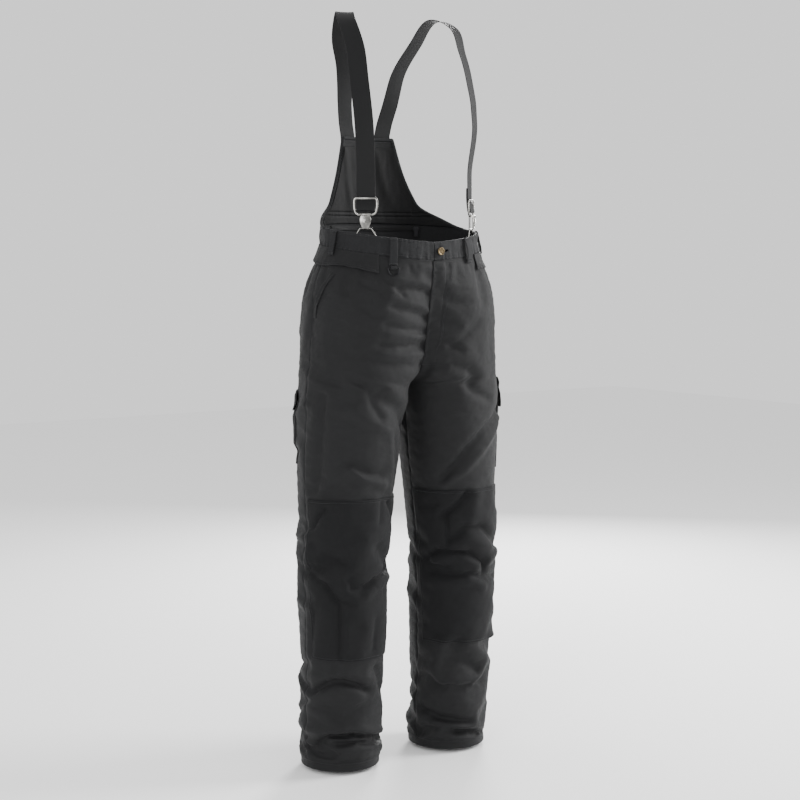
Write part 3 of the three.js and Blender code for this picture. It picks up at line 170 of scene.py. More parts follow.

# %% [markdown]
# ## The folds
#
# Padded cloth folds where it is pulled or pushed together. Each line below is one fold: the
# side of the body, its width, its height (a crease is negative), and the points it runs
# through, as (place round the side, height). The widths and heights are chosen one by one. The
# points are rounded numbers from a separate scratch program. The folds on the back and the
# outer sides are drawn from a fixed random seed.

# %% Fold table
FOLDS = [
    (-1, 5, -1.6, (0.196, -76), (0.138, -106)),
    (-1, 5, -1.2, (0.287, -80), (0.221, -102)),
    (-1, 8, -2.6, (0.15, -92), (0.087, -96), (0, -106)),
    (-1, 10, 1.4, (0.146, -76), (0, -90)),
    (-1, 9, -2.8, (0.179, -128), (0.1, -142), (0, -156)),
    (-1, 10, 1.6, (0.183, -114), (0, -138)),
    (-1, 7, -1.2, (0.263, -146), (0.221, -148)),
    (-1, 8, -2.6, (0.208, -166), (0.125, -176), (0, -184)),
    (-1, 10, 1.8, (0.196, -186), (0, -196)),
    (-1, 12, -4.2, (0.225, -206), (0.142, -210), (0, -210)),
    (-1, 13, 2.4, (0.217, -224), (0, -228)),
    (-1, 10, -1.8, (0.279, -224), (0.196, -242), (0.008, -254)),
    (-1, 14, 1.6, (0.246, -266), (0.158, -268), (0, -260)),
    (-1, 14, -4, (0.271, -306), (0.192, -336), (0.1, -378)),
    (-1, 14, 2.6, (0.233, -296), (0.104, -324)),
    (-1, 9, -2.4, (0.308, -282), (0.279, -326), (0.25, -350)),
    (-1, 12, 2.4, (0.333, -334), (0.287, -356), (0.229, -374)),
    (-1, 12, -2.4, (0.329, -442), (0.271, -464), (0.225, -464)),
    (-1, 10, 2.6, (0.333, -452), (0.287, -474), (0.208, -488)),
    (-1, 10, -1.8, (0.429, -302), (0.433, -388), (0.442, -496)),
    (-1, 16, 1.2, (0.404, -306), (0.396, -468)),
    (-1, 10, 1.8, (0.208, -382), (0.154, -514)),
    (-1, 8, -1.6, (0.171, -394), (0.1, -518)),
    (-1, 9, -2, (0.492, -128), (0.496, -180)),
    (1, 11, -4, (0.037, -254), (0.104, -250), (0.175, -262), (0.233, -286)),
    (1, 10, 2.6, (0.054, -270), (0.125, -284), (0.163, -278)),
    (1, 6, -1.8, (0.071, -200), (0.125, -218)),
    (1, 8, -2, (0.096, -216), (0.142, -192), (0.196, -166)),
    (1, 8, 1.4, (0.075, -190), (0.142, -176)),
    (1, 9, -3, (0.392, -350), (0.279, -390), (0.212, -430), (0.133, -492)),
    (1, 10, 3, (0.392, -370), (0.3, -418), (0.208, -472), (0.138, -502)),
    (1, 10, -1.8, (0.217, -288), (0.233, -306), (0.296, -322)),
    (1, 10, 1.2, (0.062, -88), (0.183, -94)),
    (1, 12, -1.4, (0.071, -120), (0.183, -130)),
    (1, 12, -1.6, (0.362, -188), (0.383, -284)),
    (-1, 6, -2.4, (0.408, -532), (0.433, -553), (0.45, -573)),
    (-1, 6, -2.4, (0.179, -526), (0.129, -555), (0.1, -569)),
    (-1, 8, -1.4, (0.212, -524), (0.212, -565)),
    (-1, 16, -4, (0.462, -655), (0.429, -657), (0.392, -633)),
    (-1, 16, -5, (0.204, -619), (0.167, -639), (0.1, -661)),
    (-1, 12, 3, (0.471, -617), (0.479, -647)),
    (-1, 8, -3.2, (0.471, -667), (0.404, -685), (0.362, -719)),
    (-1, 10, 2.6, (0.45, -677), (0.396, -671), (0.358, -653)),
    (-1, 9, -3.4, (0.1, -673), (0.212, -681), (0.263, -697)),
    (-1, 10, 2.4, (0.104, -687), (0.208, -697), (0.25, -711)),
    (-1, 8, -1.6, (0.317, -675), (0.308, -699)),
    (-1, 10, 1.4, (0.342, -671), (0.329, -707)),
    (-1, 7, -2.4, (0.346, -725), (0.346, -783), (0.346, -841)),
    (-1, 9, 1.4, (0.333, -733), (0.329, -833)),
    (-1, 9, -1.8, (0.45, -745), (0.467, -839)),
    (-1, 10, -1.6, (0.208, -769), (0.217, -831)),
    (-1, 8, -5, (0.454, -917), (0.392, -895), (0.338, -891), (0.292, -897), (0.246, -913)),
    (-1, 18, 4, (0.442, -931), (0.358, -915), (0.275, -927)),
    (-1, 14, 2, (0.45, -889), (0.338, -873), (0.217, -893)),
    (-1, 7, -2, (0.367, -851), (0.367, -885)),
    (-1, 11, -3, (0.192, -873), (0.104, -941)),
    (-1, 8, 3, (0.588, -901), (0.483, -931)),
    (-1, 8, -2.6, (0.483, -935), (0.583, -975)),
    (-1, 16, -2, (0.392, -945), (0.342, -977), (0.263, -947)),
    (-1, 7, -8, (0.433, -1029), (0.383, -1013), (0.287, -1007), (0.1, -1033)),
    (-1, 7, -6, (0.404, -1029), (0.283, -1027), (0.104, -1037)),
    (-1, 5, 3.4, (0.404, -1021), (0.283, -1019), (0.104, -1035)),
    (-1, 12, 3.6, (0.5, -1005), (0.333, -993), (0.113, -1017)),
    (-1, 6, -4.4, (0.5, -1043), (0.433, -1039), (0.367, -1045)),
    (-1, 6, -3.6, (0.475, -1051), (0.412, -1055), (0.362, -1055)),
    (-1, 14, 3, (0.358, -1041), (0.121, -1055)),
    (1, 8, -4.4, (0.212, -524), (0.171, -551), (0.129, -569)),
    (1, 16, 2.4, (0.246, -528), (0.225, -583)),
    (1, 6, -2.6, (0.138, -569), (0.138, -633)),
    (1, 13, -4.4, (0.158, -617), (0.204, -597), (0.271, -601), (0.392, -649)),
    (1, 14, 3, (0.163, -633), (0.225, -625), (0.304, -649)),
    (1, 9, -3.6, (0.067, -663), (0.104, -647), (0.208, -649), (0.275, -677), (0.287, -697)),
    (1, 10, 2.6, (0.079, -671), (0.163, -659), (0.242, -683)),
    (1, 7, -2.6, (0.071, -675), (0.133, -685)),
    (1, 10, -3.6, (0.079, -695), (0.188, -701), (0.388, -715)),
    (1, 11, 4, (0.308, -671), (0.388, -657)),
    (1, 8, 2, (0.217, -709), (0.283, -731)),
    (1, 12, 2, (0.087, -717), (0.208, -713)),
    (1, 26, 1.6, (0.167, -803), (0.329, -787)),
    (1, 13, -4.6, (0.167, -847), (0.175, -875), (0.279, -917)),
    (1, 13, 2.6, (0.125, -847), (0.092, -905)),
    (1, 13, 2.4, (0.221, -853), (0.312, -883)),
    (1, 11, 3, (0.092, -909), (0.121, -933), (0.217, -931), (0.292, -925)),
    (1, 12, -2.6, (0.092, -941), (0.217, -945), (0.304, -941)),
    (1, 10, 2.8, (0.258, -939), (0.329, -895)),
    (1, 13, 2.2, (0.179, -985), (0.3, -989)),
    (1, 9, -4.2, (0.042, -999), (0.113, -1017), (0.179, -1021), (0.246, -1027)),
    (1, 9, 3, (0.058, -1011), (0.133, -1031), (0.246, -1039)),
    (1, 7, -7, (0.188, -1049), (0.237, -1049), (0.388, -1075)),
    (1, 9, 2.6, (0.1, -1053), (0.183, -1063), (0.388, -1085)),
    (1, 6, -2.2, (0.046, -1003), (0.087, -1021)),
]
for side in SIDES:
    for k in range(46):
        s0 = SEED.uniform(0.5, 0.97)
        z0 = SEED.choice([-140, -250, -380, -600, -680, -760, -900, -960, -1020,
                -1050]) + SEED.uniform(-55, 40)
        lean = SEED.uniform(-38, 38) if z0 > -560 else SEED.uniform(-16, 16)
        reach = SEED.uniform(0.05, 0.12)
        height = SEED.choice([-1, 1]) * SEED.uniform(1.2, 2.6)
        FOLDS.append((side, SEED.uniform(8, 15), height, (s0 - reach, z0 - lean), (s0, z0),
                      (min(s0 + reach, 0.99), z0 + lean * SEED.uniform(0.2, 1))))


def fold_sum(side, s, z, around, narrow, sharp):
    """The height of all folds of one side at (s, z). A sharp fold comes to a point."""
    total = np.zeros(np.shape(z))
    for which, width, height, *points in FOLDS:
        if which != side:
            continue
        nearest = np.full(np.shape(z), 1e9)
        for (s0, z0), (s1, z1) in zip(points[:-1], points[1:]):
            dx, dz = (s1 - s0) * around, z1 - z0
            px, pz = (s - s0) * around, z - z0
            t = np.clip((px * dx + pz * dz) / (dx * dx + dz * dz + 1e-9), 0, 1)
            nearest = np.minimum(nearest, np.hypot(px - t * dx, pz - t * dz))
        near = nearest / (width * narrow)
        total += height * (np.exp(-near) if sharp else np.exp(-near ** 2))
    return total


def seam_pucker(side):
    """Short ripples beside the inner and outer seams, where thread draws the cloth up."""
    rng = np.random.default_rng(11 + side)
    ripple = np.zeros(grid_z.shape)
    for seam in (0.0, 0.5, 1.0):
        away = np.abs(grid_s - seam) * girth
        phase = np.cumsum(rng.uniform(0.16, 0.34, ROWS))[:, None]
        slope = 0.05 * (1 if seam else -1)
        strength = 0.35 if seam == 0.5 else 1.5
        wave = np.sin(phase * 1.15 + slope * away) * np.exp(-away / 24)
        ripple += strength * wave * (away > 1)
    return ripple * np.clip((-grid_z - 70) / 120, 0, 1)


def calm(z):
    """1 where folds may form, falling to 0 in the waistband and at the very hem."""
    return np.clip((-z - 34) / 45, 0, 1) * np.clip((z + HEM_DROP - 6) / 22, 0.25, 1)


shaped = {}
for side in SIDES:
    middle = np.clip(np.minimum(grid_s, 1 - grid_s) * girth / 14, 0, 1)
    middle = np.where(grid_z > -CROTCH - 10, middle, 0.55 + 0.45 * middle)
    gain = np.where(grid_z < -700, 1.75, 1.95) - 0.45 * np.exp(-((grid_z + 190) / 110) ** 2)
    gain = gain * (1 - 0.45 * np.exp(-((grid_s - 0.56) / 0.1) ** 2))
    lift = (gain * fold_sum(side, grid_s, grid_z, girth, 1.0, False)
            + seam_pucker(side)) * calm(grid_z) * middle
    lift = 12 * np.tanh(lift / 12)
    shaped[side] = base[side] + base_normals[side] * lift[..., None]
    print(SIDES[side], "folds from", round(float(lift.min()), 1), "to", round(float(lift.max()), 1), "mm")

# %% [markdown]
# ## Let the cloth settle
#
# The whole shell now goes through Blender's Cloth solver. The waistband and the hems are
# pinned. The cloth is told it is a little larger than its shape (a negative shrink), so it
# has to buckle the way a padded garment does, and gravity gathers it towards the hems.
# How far a point may move is limited afterwards, and the result is read back into the grid.

# %% Cloth simulation
def settle(shapes):
    verts, faces, start = [], [], {}
    for side in SIDES:
        start[side] = sum(len(v) for v in verts)
        verts.append(shapes[side].reshape(-1, 3))
        i = np.arange(ROWS - 1)[:, None] * COLS + np.arange(COLS - 1)[None, :] + start[side]
        quad = np.stack([i, i + 1, i + COLS + 1, i + COLS], -1).reshape(-1, 4)
        faces.append(quad[:, ::-1] if side == LEFT else quad)
    points = np.concatenate(verts)
    key = np.round(points, 2)
    _, first, weld = np.unique(key, axis=0, return_index=True, return_inverse=True)
    weld = weld.reshape(-1)
    quads = weld[np.concatenate(faces)]
    keep = [q for q in quads.tolist() if len(set(q)) == 4]
    mesh = bpy.data.meshes.new("settling")
    mesh.from_pydata((points[first] * MM).tolist(), [], keep)
    ob = bpy.data.objects.new("settling", mesh)
    bpy.context.scene.collection.objects.link(ob)
    group = ob.vertex_groups.new(name="held")
    z = points[first][:, 2]
    aside = np.abs(points[first][:, 0])
    for index in range(len(first)):
        hold = 1.0 if z[index] > -46 or z[index] < -HEM_DROP + 14 else 0.16
        if aside[index] < 14 and z[index] > -CROTCH:
            hold = max(hold, 0.6)
        group.add([index], hold, "REPLACE")
    cloth = ob.modifiers.new("Cloth", "CLOTH")
    s = cloth.settings
    s.quality = 5
    s.mass = 0.25
    s.air_damping = 3
    s.tension_stiffness = 18
    s.compression_stiffness = 18
    s.shear_stiffness = 8
    s.bending_stiffness = 6
    s.vertex_group_mass = "held"
    s.pin_stiffness = 0.6
    s.shrink_min = -0.02
    s.effector_weights.gravity = 0.15
    cloth.collision_settings.use_collision = False
    cloth.point_cache.frame_start = 1
    cloth.point_cache.frame_end = 24
    scene = bpy.context.scene
    for frame_number in range(1, 23):
        scene.frame_set(frame_number)
    settled = ob.evaluated_get(bpy.context.evaluated_depsgraph_get())
    data = np.empty(len(first) * 3)
    settled.data.vertices.foreach_get("co", data)
    data = data.reshape(-1, 3) / MM
    scene.frame_set(1)
    bpy.data.objects.remove(ob)
    bpy.data.meshes.remove(mesh)
    whole = data[weld]
    result = {}
    for side in SIDES:
        result[side] = whole[start[side]:start[side] + ROWS * COLS].reshape(ROWS, COLS, 3)
    return result


def limit_move(moved, side):
    """Caps a settled point's distance from the plain garment."""
    away = moved - base[side]
    along = (away * base_normals[side]).sum(-1, keepdims=True)
    across = away - along * base_normals[side]
    length = np.linalg.norm(across, axis=-1, keepdims=True)
    across = across * (7 * np.tanh(length / 7) / np.maximum(length, 1e-6))
    along = np.where(along > 0, 9 * np.tanh(along / 9), 13 * np.tanh(along / 13))
    return base[side] + along * base_normals[side] + across


settled = settle(shaped)
cloth_grid = {side: limit_move(settled[side], side) for side in SIDES}
for side in SIDES:
    change = np.linalg.norm(settled[side] - shaped[side], axis=-1)
    print(SIDES[side], "moved", round(float(change.mean()), 2), "mm on average, most",
          round(float(change.max()), 1))
for column in (0, COLS - 1):
    above = grid_z[:, column] > -CROTCH + 1
    for side in SIDES:
        cloth_grid[side][above, column, 0] = 0
    joined = (cloth_grid[LEFT][above, column] + cloth_grid[RIGHT][above, column]) / 2
    for side in SIDES:
        cloth_grid[side][above, column] = joined
for side in SIDES:
    below = grid_z[:, 0] <= -CROTCH
    both = (cloth_grid[side][below, 0] + cloth_grid[side][below, -1]) / 2
    cloth_grid[side][below, 0] = both
    cloth_grid[side][below, -1] = both
cloth_normals = {side: normals_of(cloth_grid[side], side) for side in SIDES}

# %% [markdown]
# ## Placing things on the cloth
#
# Everything sewn to the trousers is placed by asking the settled cloth where it is. The next
# functions read the grid between its points with a smooth (Catmull-Rom) curve, so that finer
# meshes can be laid on it.

# %% Sampling the cloth
def weights(t):
    t2, t3 = t * t, t * t * t
    return [(-t3 + 2 * t2 - t) / 2, (3 * t3 - 5 * t2 + 2) / 2, (-3 * t3 + 4 * t2 + t) / 2, (t3 - t2) / 2]


def read_grid(values, row, column):
    r0 = np.clip(np.floor(row).astype(int), 0, ROWS - 2)
    c0 = np.clip(np.floor(column).astype(int), 0, COLS - 2)
    wr, wc = weights(row - r0), weights(column - c0)
    total = 0
    for i in range(4):
        for j in range(4):
            at = values[np.clip(r0 + i - 1, 0, ROWS - 1), np.clip(c0 + j - 1, 0, COLS - 1)]
            total = total + (wr[i] * wc[j])[..., None] * at
    return total


def lay(side, s, z, out=0.0, on=None, normals=None):
    """Points at (s, z) on the cloth, out millimetres above it."""
    s, z, out = np.broadcast_arrays(np.asarray(s, float), np.asarray(z, float), np.asarray(out, float))
    on = cloth_grid if on is None else on
    normals = cloth_normals if normals is None else normals
    top = band_top(s)
    v = (top - z) / (HEM_DROP + top)
    inside_v = np.clip(v, 0, 1)
    row, column = inside_v * (ROWS - 1), np.clip(s, 0, 1) * (COLS - 1)
    point = read_grid(on[side], row, column)
    normal = read_grid(normals[side], row, column)
    normal = normal / np.maximum(np.linalg.norm(normal, axis=-1, keepdims=True), 1e-9)
    point = point + normal * out[..., None]
    point[..., 2] += (inside_v - v) * (HEM_DROP + top)
    return point


def lay_plain(side, s, z, out=0.0):
    return lay(side, s, z, out, base, base_normals)


def lay_round(s_signed, z, out=0.0, plain=False):
    """s_signed runs over both sides: negative is the wearer's right."""
    use = lay_plain if plain else lay
    right = use(RIGHT, np.abs(s_signed), z, out)
    left = use(LEFT, np.abs(s_signed), z, out)
    return np.where((np.asarray(s_signed) + 0 * np.asarray(z) < 0)[..., None], right, left)


def girth_at(z):
    rows = np.clip(-np.asarray(z, float) / HEM_DROP * (ROWS - 1), 0, ROWS - 1)
    return np.interp(rows, np.arange(ROWS), girth[:, 0])


def sharp_folds(side, s, z):
    """The thin creased crest of every fold, for the fine meshes."""
    s, z = np.broadcast_arrays(np.asarray(s, float), np.asarray(z, float))
    crest = fold_sum(side, s, z, girth_at(z), 0.5, True)
    return 2.2 * np.tanh(0.62 * crest / 2.2) * calm(z)


def edge_steps(length, step, margin=6.0):
    """Places 0 to 1 along a length, crowded within a margin of both ends."""
    ends = np.array([0, 0.05, 0.16, 0.34, 0.62, 1.0]) * margin / length
    inner = np.linspace(ends[-1], 1 - ends[-1], max(2, int((length - 2 * margin) / step)))
    return np.concatenate([ends[:-1], inner, 1 - ends[:-1][::-1]])


def rounded(distance, radius):
    """0 at an edge, rising round a quarter circle to 1."""
    t = np.clip(distance / radius, 0, 1)
    return np.sqrt(np.clip(1 - (1 - t) ** 2, 0, 1))


def ripple_noise(a, b, seed, size, detail=3):
    """Smooth repeatable noise over two coordinates in millimetres, about -1 to 1."""
    rng = np.random.default_rng(seed)
    total = 0
    for k in range(detail * 4):
        turn = rng.uniform(0, math.pi)
        wave = size / (1 + 0.7 * (k // 4)) * rng.uniform(0.75, 1.3)
        total = total + np.sin((a * math.cos(turn) + b * math.sin(turn)) * 2 * math.pi / wave
                               + rng.uniform(0, 6.3)) / (1 + 0.8 * (k // 4))
    return total / (1.9 * math.sqrt(detail * 2))


print("a point at the hip:", np.round(lay(LEFT, 0.5, -150.0), 1))

# %% [markdown]
# ## Materials
#
# Cloth shows three things up close: the weave, small differences in colour, and a lighter
# line where it is rubbed along its edges and seams. The raised crests of creases and puckers get
# the same lighter tone as a painted highlight. The weave is one shared node group that reads the UV
# map, which holds real metres. The rubbed edges and the painted highlight come from one value stored on each
# point.

# %% Materials
def new_group(name, inputs, outputs):
    group = bpy.data.node_groups.new(name, "ShaderNodeTree")
    for title, value in inputs:
        socket = group.interface.new_socket(title, in_out="INPUT", socket_type="NodeSocketFloat")
        socket.default_value = value
    for title in outputs:
        group.interface.new_socket(title, in_out="OUTPUT", socket_type="NodeSocketFloat")
    return group, group.nodes.new("NodeGroupInput"), group.nodes.new("NodeGroupOutput")


def maths(tree, operation, *values):
    node = tree.nodes.new("ShaderNodeMath")
    node.operation = operation
    for socket, value in zip(node.inputs, values):
        if isinstance(value, (int, float)):
            socket.default_value = value
        else:
            tree.links.new(value, socket)
    return node.outputs[0]


def weave_group():
    """Warp and weft threads: slant 1 makes a twill, slant 0 a plain ribbed cloth."""
    group, inside, outside = new_group(
        "weave", [("Across", 0.9), ("Along", 0.9), ("Slant", 1.0)], ["Threads", "Mottle"])
    uv = group.nodes.new("ShaderNodeUVMap")
    uv.uv_map = "cloth"
    split = group.nodes.new("ShaderNodeSeparateXYZ")
    group.links.new(uv.outputs[0], split.inputs[0])
    u = maths(group, "MULTIPLY", split.outputs[0], 1000.0)
    v = maths(group, "MULTIPLY", split.outputs[1], 1000.0)
    lean = maths(group, "MULTIPLY", v, inside.outputs["Slant"])
    warp = maths(group, "DIVIDE", maths(group, "ADD", u, lean), inside.outputs["Across"])
    weft = maths(group, "DIVIDE", v, inside.outputs["Along"])
    turn = 2 * math.pi
    a = maths(group, "SINE", maths(group, "MULTIPLY", warp, turn))
    b = maths(group, "SINE", maths(group, "MULTIPLY", weft, turn))
    threads = maths(group, "ADD", maths(group, "MULTIPLY", a, 0.32), maths(group, "MULTIPLY", b, 0.18))
    group.links.new(maths(group, "ADD", threads, 0.5), outside.inputs["Threads"])
    noise = group.nodes.new("ShaderNodeTexNoise")
    noise.inputs["Scale"].default_value = 9
    noise.inputs["Detail"].default_value = 6
    noise.inputs["Roughness"].default_value = 0.62
    place = group.nodes.new("ShaderNodeTexCoord")
    group.links.new(place.outputs["Object"], noise.inputs["Vector"])
    group.links.new(noise.outputs[0], outside.inputs["Mottle"])
    return group


WEAVE = weave_group()


def mix_colour(tree, factor, low, high):
    node = tree.nodes.new("ShaderNodeMix")
    node.data_type = "RGBA"
    if isinstance(factor, float):
        node.inputs[0].default_value = factor
    else:
        tree.links.new(factor, node.inputs[0])
    for socket, value in ((node.inputs[6], low), (node.inputs[7], high)):
        if isinstance(value, tuple):
            socket.default_value = (*value, 1)
        else:
            tree.links.new(value, socket)
    return node.outputs[2]


def cloth_material(name, colour, rough=0.62, across=0.9, along=0.9, slant=1.0, relief=0.25, sheen=0.03,
                   wear_and_highlight=2.0, specular=0.19):
    mat = bpy.data.materials.new(name)
    mat.use_nodes = True
    tree = mat.node_tree
    shader = tree.nodes["Principled BSDF"]
    shader.inputs["Sheen Weight"].default_value = sheen
    shader.inputs["Sheen Roughness"].default_value = 0.45
    shader.inputs["Specular IOR Level"].default_value = specular
    weave = tree.nodes.new("ShaderNodeGroup")
    weave.node_tree = WEAVE
    weave.inputs["Across"].default_value = across
    weave.inputs["Along"].default_value = along
    weave.inputs["Slant"].default_value = slant
    dark = tuple(c * 0.72 for c in colour)
    light = tuple(min(1, c * 1.25) for c in colour)
    # A lighter tone of the cloth: the random mottle and the rubbed edges use it, and so does the painted
    # highlight on raised crests.
    lighter_tone = tuple(min(1, c * wear_and_highlight) for c in colour)
    threads = mix_colour(tree, weave.outputs["Threads"], dark, light)
    mottled = tree.nodes.new("ShaderNodeMapRange")
    mottled.inputs["From Min"].default_value = 0.35
    mottled.inputs["From Max"].default_value = 0.7
    mottled.inputs["To Min"].default_value = 0.0
    mottled.inputs["To Max"].default_value = 0.35
    tree.links.new(weave.outputs["Mottle"], mottled.inputs[0])
    varied = mix_colour(tree, mottled.outputs[0], threads, lighter_tone)
    # The value stored on each point mixes in the lighter tone: real wear at the edges plus a painted
    # highlight on the crests of folds and puckers.
    wear_and_highlight_node = tree.nodes.new("ShaderNodeAttribute")
    wear_and_highlight_node.attribute_name = "wear_and_highlight"
    wear_and_highlight_share = maths(tree, "MULTIPLY", wear_and_highlight_node.outputs["Fac"], 0.5)
    tree.links.new(mix_colour(tree, wear_and_highlight_share, varied, lighter_tone), shader.inputs["Base Color"])
    roughness = maths(tree, "ADD", maths(tree, "MULTIPLY", weave.outputs["Mottle"], 0.16), rough - 0.08)
    tree.links.new(roughness, shader.inputs["Roughness"])
    bump = tree.nodes.new("ShaderNodeBump")
    bump.inputs["Strength"].default_value = 0.55
    bump.inputs["Distance"].default_value = relief * MM
    height = maths(tree, "ADD", weave.outputs["Threads"],
                   maths(tree, "MULTIPLY", weave.outputs["Mottle"], 0.5))
    tree.links.new(height, bump.inputs["Height"])
    tree.links.new(bump.outputs[0], shader.inputs["Normal"])
    return mat


def metal_material(name, colour, rough, spots, dark=0.6, coat=0.0):
    mat = bpy.data.materials.new(name)
    mat.use_nodes = True
    tree = mat.node_tree
    shader = tree.nodes["Principled BSDF"]
    shader.inputs["Metallic"].default_value = 1
    shader.inputs["Coat Weight"].default_value = coat
    place = tree.nodes.new("ShaderNodeTexCoord")
    noise = tree.nodes.new("ShaderNodeTexNoise")
    noise.inputs["Scale"].default_value = spots
    noise.inputs["Detail"].default_value = 5
    tree.links.new(place.outputs["Object"], noise.inputs["Vector"])
    ramp = tree.nodes.new("ShaderNodeMapRange")
    ramp.inputs["From Min"].default_value = 0.38
    ramp.inputs["From Max"].default_value = 0.62
    tree.links.new(noise.outputs[0], ramp.inputs[0])
    tone = mix_colour(tree, ramp.outputs[0], tuple(c * dark for c in colour), colour)
    tree.links.new(tone, shader.inputs["Base Color"])
    rough_map = maths(tree, "ADD", maths(tree, "MULTIPLY", noise.outputs[0], rough * 0.8), rough * 0.6)
    tree.links.new(rough_map, shader.inputs["Roughness"])
    bump = tree.nodes.new("ShaderNodeBump")
    bump.inputs["Strength"].default_value = 0.12
    bump.inputs["Distance"].default_value = 0.1 * MM
    tree.links.new(noise.outputs[0], bump.inputs["Height"])
    tree.links.new(bump.outputs[0], shader.inputs["Normal"])
    return mat


SHELL = cloth_material("shell twill", (0.0068, 0.0069, 0.0074), rough=0.68, relief=0.3)
BAND = cloth_material("band twill", (0.0088, 0.009, 0.0098), rough=0.72, relief=0.3)
KNEE = cloth_material("heavy ribbed cloth", (0.0052, 0.0053, 0.0058), rough=0.78, across=1.9, along=1.3,
                      slant=0.0, relief=0.6, sheen=0.03, specular=0.16)
LINING = cloth_material("smooth lining", (0.0027, 0.00275, 0.003), rough=0.66, across=0.5, along=0.5,
                        slant=0.0, relief=0.1, sheen=0.02, specular=0.16)
WEBBING = cloth_material("elastic webbing", (0.0045, 0.0046, 0.005), rough=0.66, across=1.7, along=1.1,
                         slant=0.0, relief=0.3, sheen=0.03, specular=0.2)
THREAD = cloth_material("thread", (0.011, 0.0113, 0.0125), rough=0.6, relief=0.1, sheen=0.1, specular=0.3)
NICKEL = metal_material("polished nickel", (0.3, 0.295, 0.28), 0.2, 70, dark=0.5)
DARK_METAL = metal_material("black lacquered metal", (0.02, 0.02, 0.022), 0.34, 120, dark=0.7, coat=0.12)
OLD_BRASS = metal_material("antique brass", (0.2, 0.15, 0.085), 0.34, 420, dark=0.25)
RESIN = metal_material("black zip teeth", (0.006, 0.006, 0.0065), 0.5, 160)
RESIN.node_tree.nodes["Principled BSDF"].inputs["Metallic"].default_value = 0
RESIN.node_tree.nodes["Principled BSDF"].inputs["Specular IOR Level"].default_value = 0.2
print("materials:", len(bpy.data.materials))

# %% [markdown]
# ## Making pieces
#
# Two helpers make nearly every piece of cloth: one closes two grids of points, an outer and
# an inner face, into a solid with a thickness, and one lays a row of stitches.


def finish_piece(name, points, faces, material, body, uv=None, wear_and_highlight=None, covers=(), flat=False):
    mesh = bpy.data.meshes.new(name)
    mesh.from_pydata((np.asarray(points) * MM).tolist(), [], faces)
    mesh.update()
    if uv is not None:
        layer = mesh.uv_layers.new(name="cloth")
        loop_vertex = np.empty(len(mesh.loops), int)
        mesh.loops.foreach_get("vertex_index", loop_vertex)
        layer.data.foreach_set("uv", (np.asarray(uv) * MM)[loop_vertex].astype(np.float32).ravel())
    # Per-point share of the lighter tone: real edge wear plus a painted highlight on raised crests.
    if wear_and_highlight is not None:
        attribute = mesh.attributes.new("wear_and_highlight", "FLOAT", "POINT")
        attribute.data.foreach_set("value", np.asarray(wear_and_highlight, np.float32).ravel())
    if not flat:
        mesh.polygons.foreach_set("use_smooth", [True] * len(mesh.polygons))
    mesh.materials.append(material)
    ob = bpy.data.objects.new(name, mesh)
    bpy.context.scene.collection.objects.link(ob)
    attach(ob, body)
    if covers:
        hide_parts(*covers)
    return ob


def outward(points, faces):
    """Turns the faces round if they enclose a negative volume."""
    tri = np.array([(f[0], f[i], f[i + 1]) for f in faces for i in range(1, len(f) - 1)])
    p = points[tri]
    volume = np.einsum("ij,ij->i", p[:, 0], np.cross(p[:, 1], p[:, 2])).sum()
    return faces if volume > 0 else [tuple(reversed(f)) for f in faces]


def cloth_solid(name, outer, inner, material, body="trousers", covers=(), uv=None, wear_and_highlight=None,
                ring=False, holes=None):
    """A sheet of cloth from two grids of points. ring joins its last column to its first."""
    rows, cols = outer.shape[:2]
    count = rows * cols
    points = np.concatenate([outer.reshape(-1, 3), inner.reshape(-1, 3)])
    last = cols if ring else cols - 1
    i, j = np.meshgrid(np.arange(rows - 1), np.arange(last), indexing="ij")
    if holes is not None:
        keep = ~holes[:-1, :last]
        i, j = i[keep], j[keep]
    a = (i * cols + j).ravel()
    b = (i * cols + (j + 1) % cols).ravel()
    c = ((i + 1) * cols + (j + 1) % cols).ravel()
    d = ((i + 1) * cols + j).ravel()
    front = np.stack([a, b, c, d], 1)
    back = front[:, ::-1] + count
    edges = np.concatenate([front[:, [0, 1]], front[:, [1, 2]], front[:, [2, 3]], front[:, [3, 0]]])
    code = edges[:, 0] * count + edges[:, 1]
    mirror = edges[:, 1] * count + edges[:, 0]
    open_edges = edges[~np.isin(code, mirror)]
    wall = np.stack([open_edges[:, 1], open_edges[:, 0], open_edges[:, 0] + count,
                     open_edges[:, 1] + count], 1)
    faces = [tuple(f) for f in np.concatenate([front, back, wall]).tolist()]
    faces = outward(points, faces)
    if uv is None:
        across = np.cumsum(np.concatenate([[0], np.linalg.norm(np.diff(outer[rows // 2], axis=0), axis=1)]))
        along = np.cumsum(np.concatenate([[0], np.linalg.norm(np.diff(outer[:, cols // 2], axis=0), axis=1)]))
        uv = np.stack(np.meshgrid(across, along), -1)
    uv = uv.reshape(-1, 2)
    if wear_and_highlight is not None:
        wear_and_highlight = np.concatenate([wear_and_highlight.ravel(), np.zeros(count)])
    ob = finish_piece(name, points, faces, material, body, np.concatenate([uv, uv]), wear_and_highlight, covers)
    if holes is not None:
        bpy.ops.object.select_all(action="DESELECT")
        ob.select_set(True)
        bpy.context.view_layer.objects.active = ob
        bpy.ops.object.mode_set(mode="EDIT")
        bpy.ops.mesh.select_all(action="SELECT")
        bpy.ops.mesh.delete_loose()
        bpy.ops.object.mode_set(mode="OBJECT")
    return ob


CAPSULE_SIDES = 6


def read_line(run, values, where):
    """Values along a line, read at given distances."""
    return np.stack([np.interp(where, run, values[:, k]) for k in range(3)], -1)


